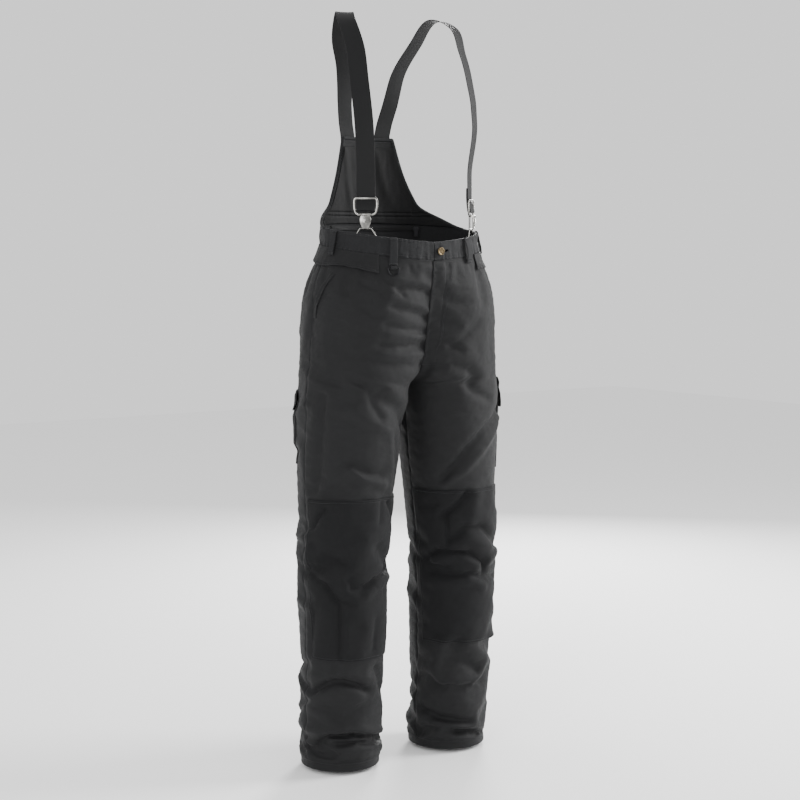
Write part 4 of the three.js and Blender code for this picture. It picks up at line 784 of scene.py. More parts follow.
def stitches(name, lines, body="trousers", pitch=3.6, length=2.7, radius=0.42, sink=0.12):
    """Rows of stitches. Each line is (points, normals) along a seam."""
    all_points, all_faces = [], []
    ring = np.arange(CAPSULE_SIDES) / CAPSULE_SIDES * 2 * math.pi
    start = 0
    for points, normals in lines:
        step = np.linalg.norm(np.diff(points, axis=0), axis=1)
        run = np.concatenate([[0], np.cumsum(step)])
        count = int(run[-1] / pitch)
        if count < 1:
            continue
        at = (np.arange(count) + 0.5) * run[-1] / count

        middle, before, after = (read_line(run, points, at + shift) for shift in (0, -length / 2, length / 2))
        up = read_line(run, normals, at)
        forward = after - before
        forward /= np.maximum(np.linalg.norm(forward, axis=1, keepdims=True), 1e-6)
        up = up - (up * forward).sum(1, keepdims=True) * forward
        up /= np.maximum(np.linalg.norm(up, axis=1, keepdims=True), 1e-6)
        side = np.cross(forward, up)
        middle = middle + up * (radius * 0.35 - sink)
        shape = [(-0.5, 0.0, -0.9), (-0.44, 0.55, -0.45), (-0.2, 1.0, 0.2), (0.2, 1.0, 0.2),
                 (0.44, 0.55, -0.45), (0.5, 0.0, -0.9)]
        rings = []
        for place, thick, lift in shape:
            centre = middle + forward * place * length + up * lift * radius * 0.5
            for a in (ring if thick else ring[:1]):
                rings.append(centre + (side * math.cos(a) + up * math.sin(a)) * radius * thick)
        block = np.stack(rings, 1)
        size = block.shape[1]
        faces = []
        n = CAPSULE_SIDES
        for k in range(n):
            m = (k + 1) % n
            faces.append((0, 1 + m, 1 + k))
            for layer in range(3):
                p = 1 + layer * n
                faces.append((p + k, p + m, p + n + m, p + n + k))
            faces.append((1 + 3 * n + k, 1 + 3 * n + m, size - 1))
        for k in range(count):
            offset = start + k * size
            all_faces += [tuple(offset + v for v in f) for f in faces]
        all_points.append(block.reshape(-1, 3))
        start += count * size
    points = np.concatenate(all_points)
    first = outward(points, all_faces[:])
    return finish_piece(name, points, first, THREAD, body, np.zeros((len(points), 2)))


def line_on(side, s, z, out, plain=False):
    """A seam line on the cloth, with the cloth's own direction outwards."""
    use = lay_plain if plain else lay
    low, high = use(side, s, z, out), use(side, s, z, np.asarray(out) + 1.0)
    return low, high - low


# %% [markdown]
# ## Legs
#
# Each leg is a front and a back panel. Near a seam the padding is squeezed flat, so the face
# dips into a groove. The knees, seat and thighs also carry small creases, made with noise.

# %% Leg panels
def leg_panel(front, side):
    name = ("front_leg_" if front else "back_leg_") + SIDES[side]
    share = edge_steps(255, 3.6, 8)
    s = (share * 0.5 if front else 0.5 + share * 0.5)[None, :]
    top = band_top(s) - BAND_HEIGHT + 1.5
    rows = np.concatenate([np.linspace(0, 0.02, 6), np.linspace(0.026, 0.985, 300),
                           np.linspace(0.99, 1, 5)])[:, None]
    bottom = -HEM_DROP + HEM_HEIGHT - 2
    z = top + (bottom - top) * rows
    s = np.broadcast_to(s, z.shape)
    wide = girth_at(z)
    seam_near = 0.0 if front else 1.0
    to_seam = np.minimum(np.abs(s - 0.5), np.abs(s - seam_near)) * wide
    inner_seam = np.abs(s - 0.5) > 0.25
    groove = np.where(inner_seam, -2.8, -1.2) * np.exp(-(to_seam / 2.6) ** 1.4)
    creases = 0.7 * ripple_noise(s * wide, z * 1.5, 21 + side + front, 38) + 0.3 * ripple_noise(s * wide,
            z, 31 + side, 12)
    puff = 0.7 * np.sin(z * 0.21 + 2.4 * ripple_noise(z, z * 0, 5 + side,
                                                      90)) * np.exp(-to_seam / 15) * (to_seam > 1)
    still = np.clip((-z - 45) / 40, 0.25, 1)
    out = groove + (creases + puff) * still + sharp_folds(side, s, z) * np.clip(to_seam / 6, 0, 1)
    outer = lay(side, s, z, out)
    inner = lay(side, s, z, np.minimum(out * 0.4, 0) - 5.0)
    # Rubbed wear beside the seams, plus a painted highlight where the creases stand up.
    wear_and_highlight = np.clip(0.55 * np.exp(-((to_seam - 4) / 3) ** 2) + 0.4 * np.clip(creases, 0, 1), 0, 1)
    uv = np.stack([s * 514, z], -1)
    ob = cloth_solid(name + "_cloth", outer, inner, SHELL, covers=[name], uv=uv, wear_and_highlight=wear_and_highlight)
    return len(ob.data.polygons)


for side in SIDES:
    print(SIDES[side], "panels:", leg_panel(True, side), leg_panel(False, side), "faces")

# %% [markdown]
# ## Hems and waistband

# %% Hems
hem_lines = []
for side in SIDES:
    s = np.linspace(0, 1, 181)[None, :-1]
    rows = edge_steps(HEM_HEIGHT, 2.0, 5)[:, None]
    z = -HEM_DROP + HEM_HEIGHT * (1 - rows)
    s = np.broadcast_to(s, z.shape[:1] + s.shape[1:])
    z = np.broadcast_to(z, s.shape)
    wide = girth_at(z)
    fold_in = rounded(z + HEM_DROP, 3.0)
    upper = rounded(-HEM_DROP + HEM_HEIGHT - z, 2.2)
    crimp = 0.5 * ripple_noise(s * wide, z * 0.3, 41 + side, 15) * np.exp(-np.abs(z + HEM_DROP - 17) / 6)
    stitch_dip = -0.7 * np.exp(-((z + HEM_DROP - 17) / 1.6) ** 2)
    out = -1.6 + 2.4 * np.minimum(fold_in, upper) + crimp + stitch_dip
    inner = lay(side, s, z, -6.4 + 1.6 * (1 - fold_in))
    ob = cloth_solid("hem_cloth_" + SIDES[side], lay(side, s, z, out), inner, SHELL,
                     covers=["hem_" + SIDES[side]], uv=np.stack([s * 514, z], -1), ring=True,
                     wear_and_highlight=0.8 * np.exp(-((z + HEM_DROP - 1.5) / 2) ** 2))
    around = np.linspace(0, 1, 400)
    hem_lines.append(line_on(side, around, -HEM_DROP + 17.0 + 0 * around, 0.45))
stitches("hem_stitching", hem_lines)

# %% Waistband
band_lines = []
for name, s0, s1 in (("front_right", -0.5, -0.0008), ("front_left", 0.0008, 0.5), ("back", 0.5, 1.5)):
    length = 480 if name != "back" else 940
    steps = edge_steps(length, 2.4, 6)
    s_line = s0 + (s1 - s0) * steps
    signed = np.where(s_line > 1, s_line - 2, s_line)
    signed = np.where(np.abs(signed) < 1e-4, 1e-4, signed)
    rows = edge_steps(BAND_HEIGHT, 1.7, 5)[:, None]
    signed = np.broadcast_to(signed[None, :], (len(rows), len(signed)))
    absolute = np.abs(signed)
    z = band_top(absolute) - BAND_HEIGHT * rows
    depth_in = BAND_HEIGHT * rows + 0 * absolute
    end = np.minimum(steps, 1 - steps)[None, :] * length
    pillow = np.minimum(rounded(np.minimum(depth_in, BAND_HEIGHT - depth_in), 3.2), rounded(end, 2.4))
    around = absolute * 514 * np.sign(signed)
    near_foot = np.exp(-(BAND_HEIGHT - depth_in) / 9) + 0.55 * np.exp(-depth_in / 8)
    crimp = near_foot * 2.3 * ripple_noise(around, depth_in * 0.25, 51, 17) + 0.75 * ripple_noise(around,
            depth_in * 1.5, 52, 44) + 0.5 * ripple_noise(around, depth_in * 0.8, 54, 9) * near_foot
    dips = -0.7 * (np.exp(-((depth_in - 4) / 1.3) ** 2) + np.exp(-((depth_in - 34) / 1.3) ** 2))
    out = -1.4 + 2.4 * pillow + crimp * pillow + dips
    inner = lay_round(signed, z, -5.2 + 1.6 * (1 - pillow) + 0.3 * crimp)
    holes = None
    if name == "front_left":
        across = absolute * 486 - 12.5
        holes = (np.abs(depth_in - 19) < 1.0) & (across > -3) & (across < 17)
    # Wear along the top edge, plus a painted highlight on the raised puckers.
    ob = cloth_solid("waistband_%s_cloth" % name, lay_round(signed, z, out), inner, BAND,
                     holes=holes, covers=["waistband_" + name], uv=np.stack([around, z], -1),
                     wear_and_highlight=0.8 * np.exp(-(depth_in / 2.2) ** 2) + 0.3 * np.clip(crimp, 0, 1))
    for inset in (4.0, 34.0):
        path = signed[0]
        zz = band_top(np.abs(path)) - inset
        ripple = 2.3 * (math.exp(-(BAND_HEIGHT - inset) / 9) + 0.55 * math.exp(-inset / 8)) * ripple_noise(
            np.abs(path) * 514 * np.sign(path), inset * 0.25 + 0 * path, 51, 17)
        low = lay_round(path, zz, 0.55 + ripple)
        band_lines.append((low, lay_round(path, zz, 1.55 + ripple) - low))
stitches("waistband_stitching", band_lines)
under_s = np.linspace(0.0, 0.085, 24)[None, :] + np.zeros((18, 1))
under_z = band_top(under_s) - 1 - (BAND_HEIGHT - 2) * np.linspace(0, 1, 18)[:, None]
under_edge = rounded(np.minimum((0.085 - under_s) * 486, np.minimum(-under_z, BAND_HEIGHT + under_z)), 2)
cloth_solid("waistband_underlap", lay(LEFT, under_s, under_z, -7.2 + 1.2 * under_edge),
            lay(LEFT, under_s, under_z, -9.2), BAND)
print("waistband and hems made")

# %% [markdown]
# ## Pockets and flaps
#
# A patch lies between two edges round the leg and two heights. Its own edges are rounded and
# stitched down, and the cloth inside the stitching swells a little.

# %% Patches
def patch(name, side, s_edges, z_edges, lift, thick, step=3.2, body="trousers", material=None,
          covers=(), own=0.4, seed=3, inset=5.0, sew=("left", "right", "bottom"), edge_round=2.2, plain=False,
          extra=None, stitch=True):
    """s_edges(v) gives the two ends round the leg and z_edges(u) the top and bottom."""
    z_mid = np.mean(z_edges(0.5))
    s_mid = s_edges(0.5)
    width = abs(s_mid[1] - s_mid[0]) * float(girth_at(z_mid))
    height = abs(z_edges(0.5)[0] - z_edges(0.5)[1])
    u = edge_steps(width, step, min(7, width / 3))[None, :]
    v = edge_steps(height, step, min(7, height / 3))[:, None]
    left, right = s_edges(v)
    s = left + (right - left) * u
    top, bottom = z_edges(u)
    z = top + (bottom - top) * v
    from_side = np.minimum(u, 1 - u) * width
    from_end = np.minimum(v, 1 - v) * height
    pillow = np.minimum(rounded(from_side, edge_round), rounded(from_end, edge_round))
    distance = np.full(s.shape, 99.0)
    for where, value in (("left", u * width), ("right", (1 - u) * width), ("bottom", (1 - v) * height),
            ("top", v * height)):
        if where in sew:
            distance = np.minimum(distance, value + 0 * s)
    dip = -0.8 * np.exp(-((distance - inset) / 1.5) ** 2)
    noise = own * ripple_noise(s * 514, z, seed, 30) * np.clip(distance / 12, 0.3, 1)
    crimp = 0.45 * ripple_noise(s * 514 + z, z - s * 514, seed + 1,
                                13) * np.exp(-((distance - inset) / 5) ** 2)
    under = lift(u, v) + (0 if plain else sharp_folds(side, s, z))
    swell = noise + crimp + dip + (extra(u, v) if extra else 0)
    out = under + thick * (0.3 + 0.7 * pillow) + swell * pillow
    outer = lay(side, s, z, out, *((base, base_normals) if plain else ()))
    inner = lay(side, s, z, under, *((base, base_normals) if plain else ()))
    # Wear along the sewn edges, plus a painted highlight where the swelling noise stands up.
    wear_and_highlight = np.clip(0.7 * np.exp(-(np.minimum(from_side, from_end) / 2.2) ** 2) + 0.3 * np.clip(noise, 0, 1),
                   0, 1)
    ob = cloth_solid(name, outer, inner, material or SHELL, body, covers, np.stack([s * 514, z], -1),
                     wear_and_highlight)
    if not stitch:
        return ob
    lines = []

    def sewn(uu, vv):
        l, r = s_edges(vv)
        t, b = z_edges(uu)
        ss, zz = l + (r - l) * uu, t + (b - t) * vv
        base_out = lift(uu, vv) + thick - 0.35 + (0 if plain else sharp_folds(side, ss, zz))
        return line_on(side, ss, zz, base_out + 0 * ss, plain)

    iu, iv = inset / width, inset / height
    run = np.linspace(iu, 1 - iu, 120)
    drop = np.linspace(iv if "top" in sew else 0, 1 - iv if "bottom" in sew else 1, 120)
    if "left" in sew:
        lines.append(sewn(iu + 0 * drop, drop))
    if "right" in sew:
        lines.append(sewn(1 - iu + 0 * drop, drop))
    if "bottom" in sew:
        lines.append(sewn(run, 1 - iv + 0 * run))
    if "top" in sew:
        lines.append(sewn(run, iv + 0 * run))
    stitches(name + "_stitching", lines, body)
    return ob


def between(a, b):
    return lambda u: (a + 0 * u, b + 0 * u)


def angled(top_a, bottom_a, top_b, bottom_b, z_top, z_bottom):
    """Ends given as angles at the top and the bottom of a patch."""
    def ends(v):
        z = z_top + (z_bottom - z_top) * v
        return (s_of(top_a + (bottom_a - top_a) * v, z), s_of(top_b + (bottom_b - top_b) * v, z))
    return ends


for side in SIDES:
    word = SIDES[side]
    gape = 8.0 if side == LEFT else 0.6

    def knee_lift(u, v, gape=gape):
        return 0.5 + gape * np.exp(-((u - 0.2) / 0.14) ** 2) * np.clip((v - 0.9) / 0.1, 0, 1) ** 2

    def knee_shape(u, v, side=side):
        stand = 2.2 * np.exp(-((v - 0.3) / 0.22) ** 2) * np.exp(-((u - 0.5) / 0.34) ** 2)
        bulge = 1.8 * np.sin(math.pi * np.clip((v - 0.55) / 0.45, 0, 1)) * np.sin(math.pi * u)
        return stand + bulge

    def knee_z(u):
        return -516 + 0 * u, -846 - 3 * np.sin(math.pi * u)

    patch("knee_pocket_cloth_" + word, side, angled(6, 13, 174, 167, -516, -846), knee_z, knee_lift, 2.4,
          material=KNEE, covers=["knee_pocket_" + word], own=0.55, seed=61 + side,
          extra=knee_shape, sew=("left", "right", "top", "bottom"), step=3.4)

    def flap_z(u):
        s = s_of(57 - 95 * u, -60.0)
        top = band_top(s) - BAND_HEIGHT + 1
        return top, top - 35 + 3.2 * np.sin(u * 9 + side)

    patch("hip_flap_cloth_" + word, side,
          lambda v: (s_of(57 + 0 * v, -60.0), s_of(-38 + 0 * v, -60.0)), flap_z,
          lambda u, v: 0.8 + 3.0 * v ** 2 * (0.7 + 0.5 * np.sin(u * 11 + side)), 1.7,
          covers=["hip_flap_" + word], own=0.5, seed=71 + side, sew=("bottom",), step=2.6, edge_round=1.4)

    def mouth(v):
        z = -66 - 84 * v
        a = 17 - 16 * np.clip(v * 1.4, 0, 1)
        return s_of(a + 5.5, z), s_of(a, z)

    patch("hand_pocket_edge_" + word, side, mouth, between(-64, -152),
          lambda u, v: 0.3 + 0.9 * np.sin(math.pi * v), 1.5,
          covers=["hand_pocket_facing_" + word], seed=75, sew=("left",), inset=3.5, step=2.0, edge_round=1.2)
    patch("hand_pocket_bag_cloth_" + word, side,
          lambda v: (s_of(52 + 0 * v, -150.0), s_of(4 + 0 * v, -150.0)),
          lambda u: (-60 + 0 * u, -235 + 30 * u), lambda u, v: -8.6 + 0 * u * v, 1.2,
          covers=["hand_pocket_bag_" + word], material=LINING, own=0.7, seed=77,
          stitch=False)
    patch("back_pocket_cloth_" + word, side, lambda v: (s_of(-44 + 0 * v, -150.0), s_of(-96 + 0 * v, -150.0)),
          lambda u: (-84 + 0 * u,
                  -222 - 12 * np.sin(math.pi * u)), lambda u, v: 0.3 + 1.4 * np.exp(-v * 14), 2.0,
          covers=["back_pocket_" + word], own=0.5, seed=81 + side, edge_round=1.6)


def swell(v):
    """A pocket bag stands out most below its middle."""
    return 4 * np.sin(math.pi * np.clip(v * 1.15, 0, 1)) ** 1.5


for label, flap_label, side, a0, a1, top, drop, foot, body in (
        ("thigh_pocket_left", "thigh_pocket_flap_left", LEFT, 32, -52, -284, 67, -480, "thigh_flap"),
        ("tool_pocket_right", "tool_pocket_flap_right", RIGHT, -28, -78, -301, 44, -452, "tool_flap")):
    bag_top = top - 20

    def ends(v, a0=a0, a1=a1, top=top, foot=foot):
        z = top + (foot - top) * v
        return s_of(a0 + 0 * v, z), s_of(a1 + 0 * v, z)

    def flap_lift(u, v, top=top, drop=drop, bag_top=bag_top, foot=foot):
        z = top - v * drop
        on_bag = np.clip((bag_top - z) / (bag_top - foot), 0, 1)
        return 0.8 + np.clip((top - z) / 12, 0, 1) * 3.4 + swell(on_bag) + 0 * u

    patch(label + "_cloth", side, ends, between(bag_top, foot), lambda u, v: 0.3 + 0 * u * v, 2.2,
          covers=[label], own=0.5, seed=91,
          extra=lambda u, v: swell(v) * np.clip(8 * np.minimum(u, 1 - u), 0, 1))
    patch(flap_label + "_cloth", side, ends,
          lambda u, top=top, drop=drop: (top + 0 * u, top - drop + 5 * (2 * u - 1) ** 8), flap_lift, 2.4,
          covers=[flap_label], body=body, own=0.35, seed=95, sew=("left", "right", "bottom", "top"),
          inset=4.5)

# %% [markdown]
# ## Fly
#
# The left front laps over the right. A raised lap edge runs down the middle, and a J of
# stitches holds the facing behind it.

# %% Fly
lap_rows = np.linspace(0, 1, 90)[:, None]
lap_cols = np.array([0, 0.04, 0.1, 0.2, 0.35, 0.55, 0.75, 0.88, 0.96, 1])[None, :]
lap_z = -39 - 214 * lap_rows + 0 * lap_cols
lap_s = -0.006 + 0.052 * lap_cols + 0 * lap_rows
lap_thick = 1.9 * np.minimum(rounded(lap_cols * 24, 1.8), 1 - np.clip((lap_cols - 0.55) / 0.45, 0, 1) ** 1.5)
lap_thick = lap_thick * np.clip((1 - lap_rows) * 9, 0, 1) * np.clip(lap_rows * 30, 0.4, 1)
lap_wave = 0.3 * ripple_noise(lap_z, lap_s * 300, 15, 26)
outer = lay_round(np.where(np.abs(lap_s) < 1e-4, 1e-4, lap_s), lap_z, 0.3 + lap_thick + lap_wave)
inner = lay_round(np.where(np.abs(lap_s) < 1e-4, 1e-4, lap_s), lap_z, -1.6)
cloth_solid("fly_lap", outer, inner, SHELL, uv=np.stack([lap_s * 514, lap_z], -1),
            wear_and_highlight=0.7 * np.exp(-(lap_cols * 24 / 2.0) ** 2) + 0 * lap_rows)
fly_lines = []
t = np.linspace(0, 1, 160)
for offset in (0, 2.6):
    z = -40 - 205 * t
    width = 36 - offset - 30 * np.clip((t - 0.72) / 0.28, 0, 1) ** 2.2
    fly_lines.append(line_on(LEFT, width / girth_at(z), z, 0.35))
fly_lines.append(line_on(LEFT, 4.5 / girth_at(-40 - 200 * t), -40 - 200 * t, 2.0))
stitches("fly_stitching", fly_lines)
for name, side, covers in (("fly_facing_cloth", LEFT, ["fly_facing"]), ("fly_shield_cloth", RIGHT,
        ["fly_shield"])):
    patch(name, side, lambda v: (0.012 + 0 * v, 40 / girth_at(-45 - 160 * v)), between(-44, -206),
          lambda u, v: -8.4 + 0 * u * v, 1.6, covers=covers, own=0.2, seed=16, stitch=False)

# %% [markdown]
# ## Belt loops
#
# A loop is a folded strip that stands off the band, with a dense bar of stitches at each end.

# %% Belt loops
loop_lines, tack_lines = [], []
LOOP_ROWS, LOOP_WIDTH = 60, 14
LOOPS = [("front_left", 30, LEFT, 14, 0), ("front_right", 30, RIGHT, 20, 2.2),
         ("side_right", 78, RIGHT, 14, 3.4), ("side_left", 78, LEFT, 14, 3.4),
         ("back_right", 132, RIGHT, 14, 0), ("back_left", 132, LEFT, 14, 0),
         ("back_middle", 180, LEFT, 14, 0)]
for name, degrees, side, below, foot_lift in LOOPS:
    s_mid = degrees / 180
    top = float(band_top(s_mid)) + 1
    bottom = top - BAND_HEIGHT - below - 1
    u = np.array([0, 0.03, 0.08, 0.16, 0.3, 0.5, 0.7, 0.84, 0.92, 0.97, 1])[None, :]
    v = np.linspace(0, 1, LOOP_ROWS)[:, None]
    half = LOOP_WIDTH / (180 * math.pi / 2 * 0.86) / 4
    signed = (s_mid + (u - 0.5) * 2 * half) + 0 * v
    if name == "back_middle":
        signed = np.where(signed > 1, signed - 2, signed)
    else:
        signed = signed * side
    z = top + (bottom - top) * v + 0 * u
    stand = 1.2 + 7.2 * np.sin(math.pi * v) ** 0.6 + foot_lift * v * v
    edge = rounded(np.minimum(u, 1 - u) * LOOP_WIDTH, 1.3)
    ribs = -0.35 * sum(np.exp(-(((u - line) * LOOP_WIDTH) / 0.8) ** 2) for line in (0.2, 0.8))
    outer = lay_round(signed, z, stand + 0.9 + 1.1 * edge + ribs, plain=True)
    inner = lay_round(signed, z, stand + 0.5 * (1 - edge), plain=True)
    cloth_solid("belt_loop_cloth_" + name, outer, inner, BAND, covers=["belt_loop_" + name],
                uv=np.stack([u * LOOP_WIDTH + 0 * v, z], -1), wear_and_highlight=0.8 * (1 - edge) + 0 * v)
    for place in (0.2, 0.8):
        if name == "back_middle":
            here = s_mid + (place - 0.5) * 2 * half
            path = np.where(here > 1, here - 2, here) + 0 * signed[:, 0]
        else:
            path = signed[:, 0] + (signed[:, -1] - signed[:, 0]) * place
        low = lay_round(path, z[:, 0], stand[:, 0] + 1.7, plain=True)
        loop_lines.append((low, lay_round(path, z[:, 0], stand[:, 0] + 2.7, plain=True) - low))
    for foot in (0.06, 0.93):
        row = int(foot * (LOOP_ROWS - 1))
        for k in range(3):
            low = outer[row + k]
            tack_lines.append((low, outer[row + k] - inner[row + k]))
stitches("belt_loop_stitching", loop_lines, pitch=2.8, length=2.1, radius=0.35)
stitches("belt_loop_bartacks", tack_lines, pitch=0.95, length=1.5, radius=0.4, sink=-0.1)
print("belt loops:", len(LOOPS))

# %% [markdown]
# ## Back panel
#
# The panel rises from the back of the waistband. From the front we look at its inside, so
# the lining gets real quilted seams and folds, and the whole edge is bound with a tape.

# %% Panel surface
PANEL_TOP = 220
PANEL_EDGE = np.array([(26, 176), (46, 154), (72, 117), (93, 104), (145, 83), (PANEL_TOP, 63)], float)


def panel_point(u, row, inside):
    """u runs across the panel from the wearer's right to left, row from its foot to its top."""
    u, row, inside = np.broadcast_arrays(np.asarray(u, float), np.asarray(row, float),
                                         np.asarray(inside, float))
    v = np.clip(row, 0, 1) ** 1.6
    edge_z = PANEL_EDGE[0, 0] + (PANEL_TOP - PANEL_EDGE[0, 0]) * v
    half = smooth_through(PANEL_EDGE[:, 0], PANEL_EDGE[:, 1], edge_z)
    widest = math.asin(176 / WAIST_HALF)
    across = np.sin((u * 2 - 1) * widest) / math.sin(widest)
    foot = np.arcsin(np.minimum(1, np.abs(across) * (176 / WAIST_HALF)))
    foot_z = band_top((math.pi - foot) / math.pi) - 2.6
    z = foot_z + (PANEL_TOP - foot_z) * v
    x = across * half
    deep = DEPTH + 3 + 0.035 * np.maximum(0, z - BAND_RISE) - inside
    wide = WAIST_HALF - inside
    return np.stack([x, deep * np.sqrt(np.maximum(0, 1 - (x / wide) ** 2)), z], -1)


def panel_waves(u, row, z):
    x = (u - 0.5) * 300
    folds = 1.5 * ripple_noise(x, z * 0.6, 101, 62) + 0.5 * ripple_noise(x, z, 102, 22)
    return folds * np.clip(np.minimum(np.minimum(u, 1 - u), np.minimum(row, 1 - row)) * 9, 0, 1)


u = edge_steps(300, 3.2, 6)[None, :]
row = edge_steps(220, 3.0, 6)[:, None]
shape = panel_point(u, row, 0)
waves = panel_waves(u, row, shape[..., 2])
soft = np.minimum(rounded(np.minimum(u, 1 - u) * 300, 3), rounded((1 - row) * 220, 3))
outer = panel_point(u, row, 0.6 - 0.9 * waves - 0.8 * (soft - 1))
inner = panel_point(u, row, 4.0 - 0.5 * waves + 0.8 * (soft - 1))
ob = cloth_solid("back_panel_cloth", outer, inner, SHELL, covers=["back_panel"],
                 uv=np.stack([shape[..., 0], shape[..., 2]], -1))

# %% [markdown]
# The lining: two seams run level across it, a soft fold runs down on one side, and a row of
# puckers follows each seam.

# %% Panel lining
u = 0.06 + 0.88 * edge_steps(270, 2.6, 5)[None, :]
row = 0.06 + 0.88 * edge_steps(190, 2.2, 5)[:, None]
shape = panel_point(u, row, 0)
z = shape[..., 2]
x = shape[..., 0]
from_edge = np.minimum(np.minimum(u - 0.06, 0.94 - u) * 300, np.minimum(row - 0.06, 0.94 - row) * 200)
lift = 0.7 * ripple_noise(x, z * 0.7, 111, 60) + 0.22 * ripple_noise(x, z, 112, 16)
for level in (63, 55):
    near = np.exp(-np.abs(z - level) / 8)
    lift = lift + 0.7 * near * ripple_noise(x, z * 0.2, 113 + level,
                                            11) - 1.5 * np.exp(-((z - level) / 1.7) ** 2)
lift = lift + 2.6 * np.exp(-((x + 52 + 0.1 * (z - 100)) / 9) ** 2) * np.clip((z - 50) / 40, 0, 1)
lift = lift + 1.6 * np.exp(-((x - 44 + 0.25 * (z - 100)) / 11) ** 2) * np.clip((z - 70) / 40, 0, 1)
lift = lift * np.clip(from_edge / 8, 0, 1)
rise = rounded(from_edge, 2.5)
front = panel_point(u, row, 5.4 + 1.4 + 1.2 * rise + lift + 0.3)
back = panel_point(u, row, 4.6 + 0 * u * row)
# The lining takes the lighter tone over its whole raised middle and none in the last 2.5 mm at its edges.
cloth_solid("panel_lining_cloth", back, front, LINING, covers=["back_panel_lining"],
            uv=np.stack([x, z], -1), wear_and_highlight=0.4 * rise)
panel_lines = []
for level in (63, 55):
    across = np.linspace(0.14, 0.86, 160)
    rows_at = []
    for a in across:
        column = panel_point(a, np.linspace(0, 1, 120), 0)[:, 2]
        rows_at.append(np.interp(level + 2.6, column, np.linspace(0, 1, 120)))
    low = panel_point(across, np.array(rows_at), 7.6)
    panel_lines.append((low, panel_point(across, np.array(rows_at), 8.6) - low))
stitches("panel_lining_stitching", panel_lines)


# %% [markdown]
# ## Sweeping a shape along a line
#
# Wire, tape and bindings are all made the same way: a closed outline is carried along a path.
# Each outline keeps one axis fixed, so flat tape does not twist.

# %% Sweep
def sweep(name, path, outline, up, material, body="trousers", closed=False, covers=(),
          scale=None):
    """outline is a list of (across, up) in mm. up is one vector, or one for each path point."""
    path = np.asarray(path, float)
    n = len(path)
    forward = np.roll(path, -1, 0) - np.roll(path, 1, 0)
    if not closed:
        forward[0], forward[-1] = path[1] - path[0], path[-1] - path[-2]
    forward /= np.maximum(np.linalg.norm(forward, axis=1, keepdims=True), 1e-9)
    up = np.broadcast_to(np.asarray(up, float), path.shape)
    across = np.cross(forward, up)
    across /= np.maximum(np.linalg.norm(across, axis=1, keepdims=True), 1e-9)
    lift = np.cross(across, forward)
    outline = np.asarray(outline, float)
    k = len(outline)
    size = np.ones(n) if scale is None else scale
    rings = (path[:, None] + across[:, None] * outline[None, :, :1] * size[:, None, None]
             + lift[:, None] * outline[None, :, 1:] * size[:, None, None])
    points = rings.reshape(-1, 3)
    faces = []
    for i in range(n if closed else n - 1):
        j = (i + 1) % n
        for a in range(k):
            b = (a + 1) % k
            faces.append((i * k + a, i * k + b, j * k + b, j * k + a))
    run = np.concatenate([[0], np.cumsum(np.linalg.norm(np.diff(path, axis=0), axis=1))])
    uv = np.stack(np.broadcast_arrays(outline[None, :, 0], run[:, None]), -1).reshape(-1, 2)
    if not closed:
        for end, order in ((0, 1), (n - 1, -1)):
            middle = path[end] - forward[end] * (0.35 if end == 0 else -0.35)
            points = np.vstack([points, middle])
            uv = np.vstack([uv, [0, run[end]]])
            apex = len(points) - 1
            for a in range(k):
                pair = (end * k + a, end * k + (a + 1) % k)
                faces.append((apex, *(pair[::-1] if order == 1 else pair)))
    faces = outward(points, faces)
    return finish_piece(name, points, faces, material, body, uv, None, covers)


def circle(radius, count=14, flat=1.0):
    a = np.arange(count) / count * 2 * math.pi
    return np.stack([radius * np.cos(a), radius * flat * np.sin(a)], -1)


def band_outline(width, thick, count=5):
    """A flat tape with round edges."""
    a = np.linspace(-math.pi / 2, math.pi / 2, count)
    r = thick / 2
    right = np.stack([width / 2 - r + r * np.cos(a), r * np.sin(a)], -1)
    across = np.linspace(width / 2 - r, -width / 2 + r, 9)[1:-1]
    top = np.stack([across, 0 * across + r], -1)
    return np.concatenate([right, top, -right, -top])


t = np.linspace(0, 1, 90)
edge = [panel_point(0.0 + 0 * t, t, 2.3), panel_point(t[1:-1], 1.0 + 0 * t[1:-1], 2.3),
        panel_point(1.0 + 0 * t, t[::-1], 2.3)]
bind_path = np.concatenate(edge)
keep = np.concatenate([[True], np.linalg.norm(np.diff(bind_path, axis=0), axis=1) > 0.35])
bind_path = bind_path[keep]
centre_axis = bind_path * [1, 1, 0]
centre_axis /= np.linalg.norm(centre_axis, axis=1, keepdims=True)
binding = [(x * 3.4, y * 3.7) for x, y in (
    (1, 0), (0.92, 0.5), (0.4, 0.92), (-0.4, 1), (-0.95, 0.86), (-0.95, -0.86), (-0.4, -1),
    (0.4, -0.92), (0.92, -0.5))]
sweep("panel_binding", bind_path, binding, centre_axis, BAND)
inset_edge = [panel_point(0.022 + 0 * t, t * 0.978, 7.0),
              panel_point(0.022 + 0.956 * t[1:-1], 0.978 + 0 * t[1:-1], 7.0),
              panel_point(0.978 + 0 * t, t[::-1] * 0.978, 7.0)]
edge_line = np.concatenate(inset_edge)
lining_side = -edge_line * [1, 1, 0]
stitches("panel_binding_stitching",
         [(edge_line + 0.8 * lining_side / np.linalg.norm(lining_side, axis=1, keepdims=True),
           lining_side)])
print("back panel made, binding", len(bind_path), "places")

# %% [markdown]
# ## Zips
#
# A zip is two tapes with a row of small teeth on the inner edge of each. The teeth of the
# two sides sit half a step apart.

# %% Zips
def zip_line(z):
    return -103 + 24 * (-46 - z) / 157


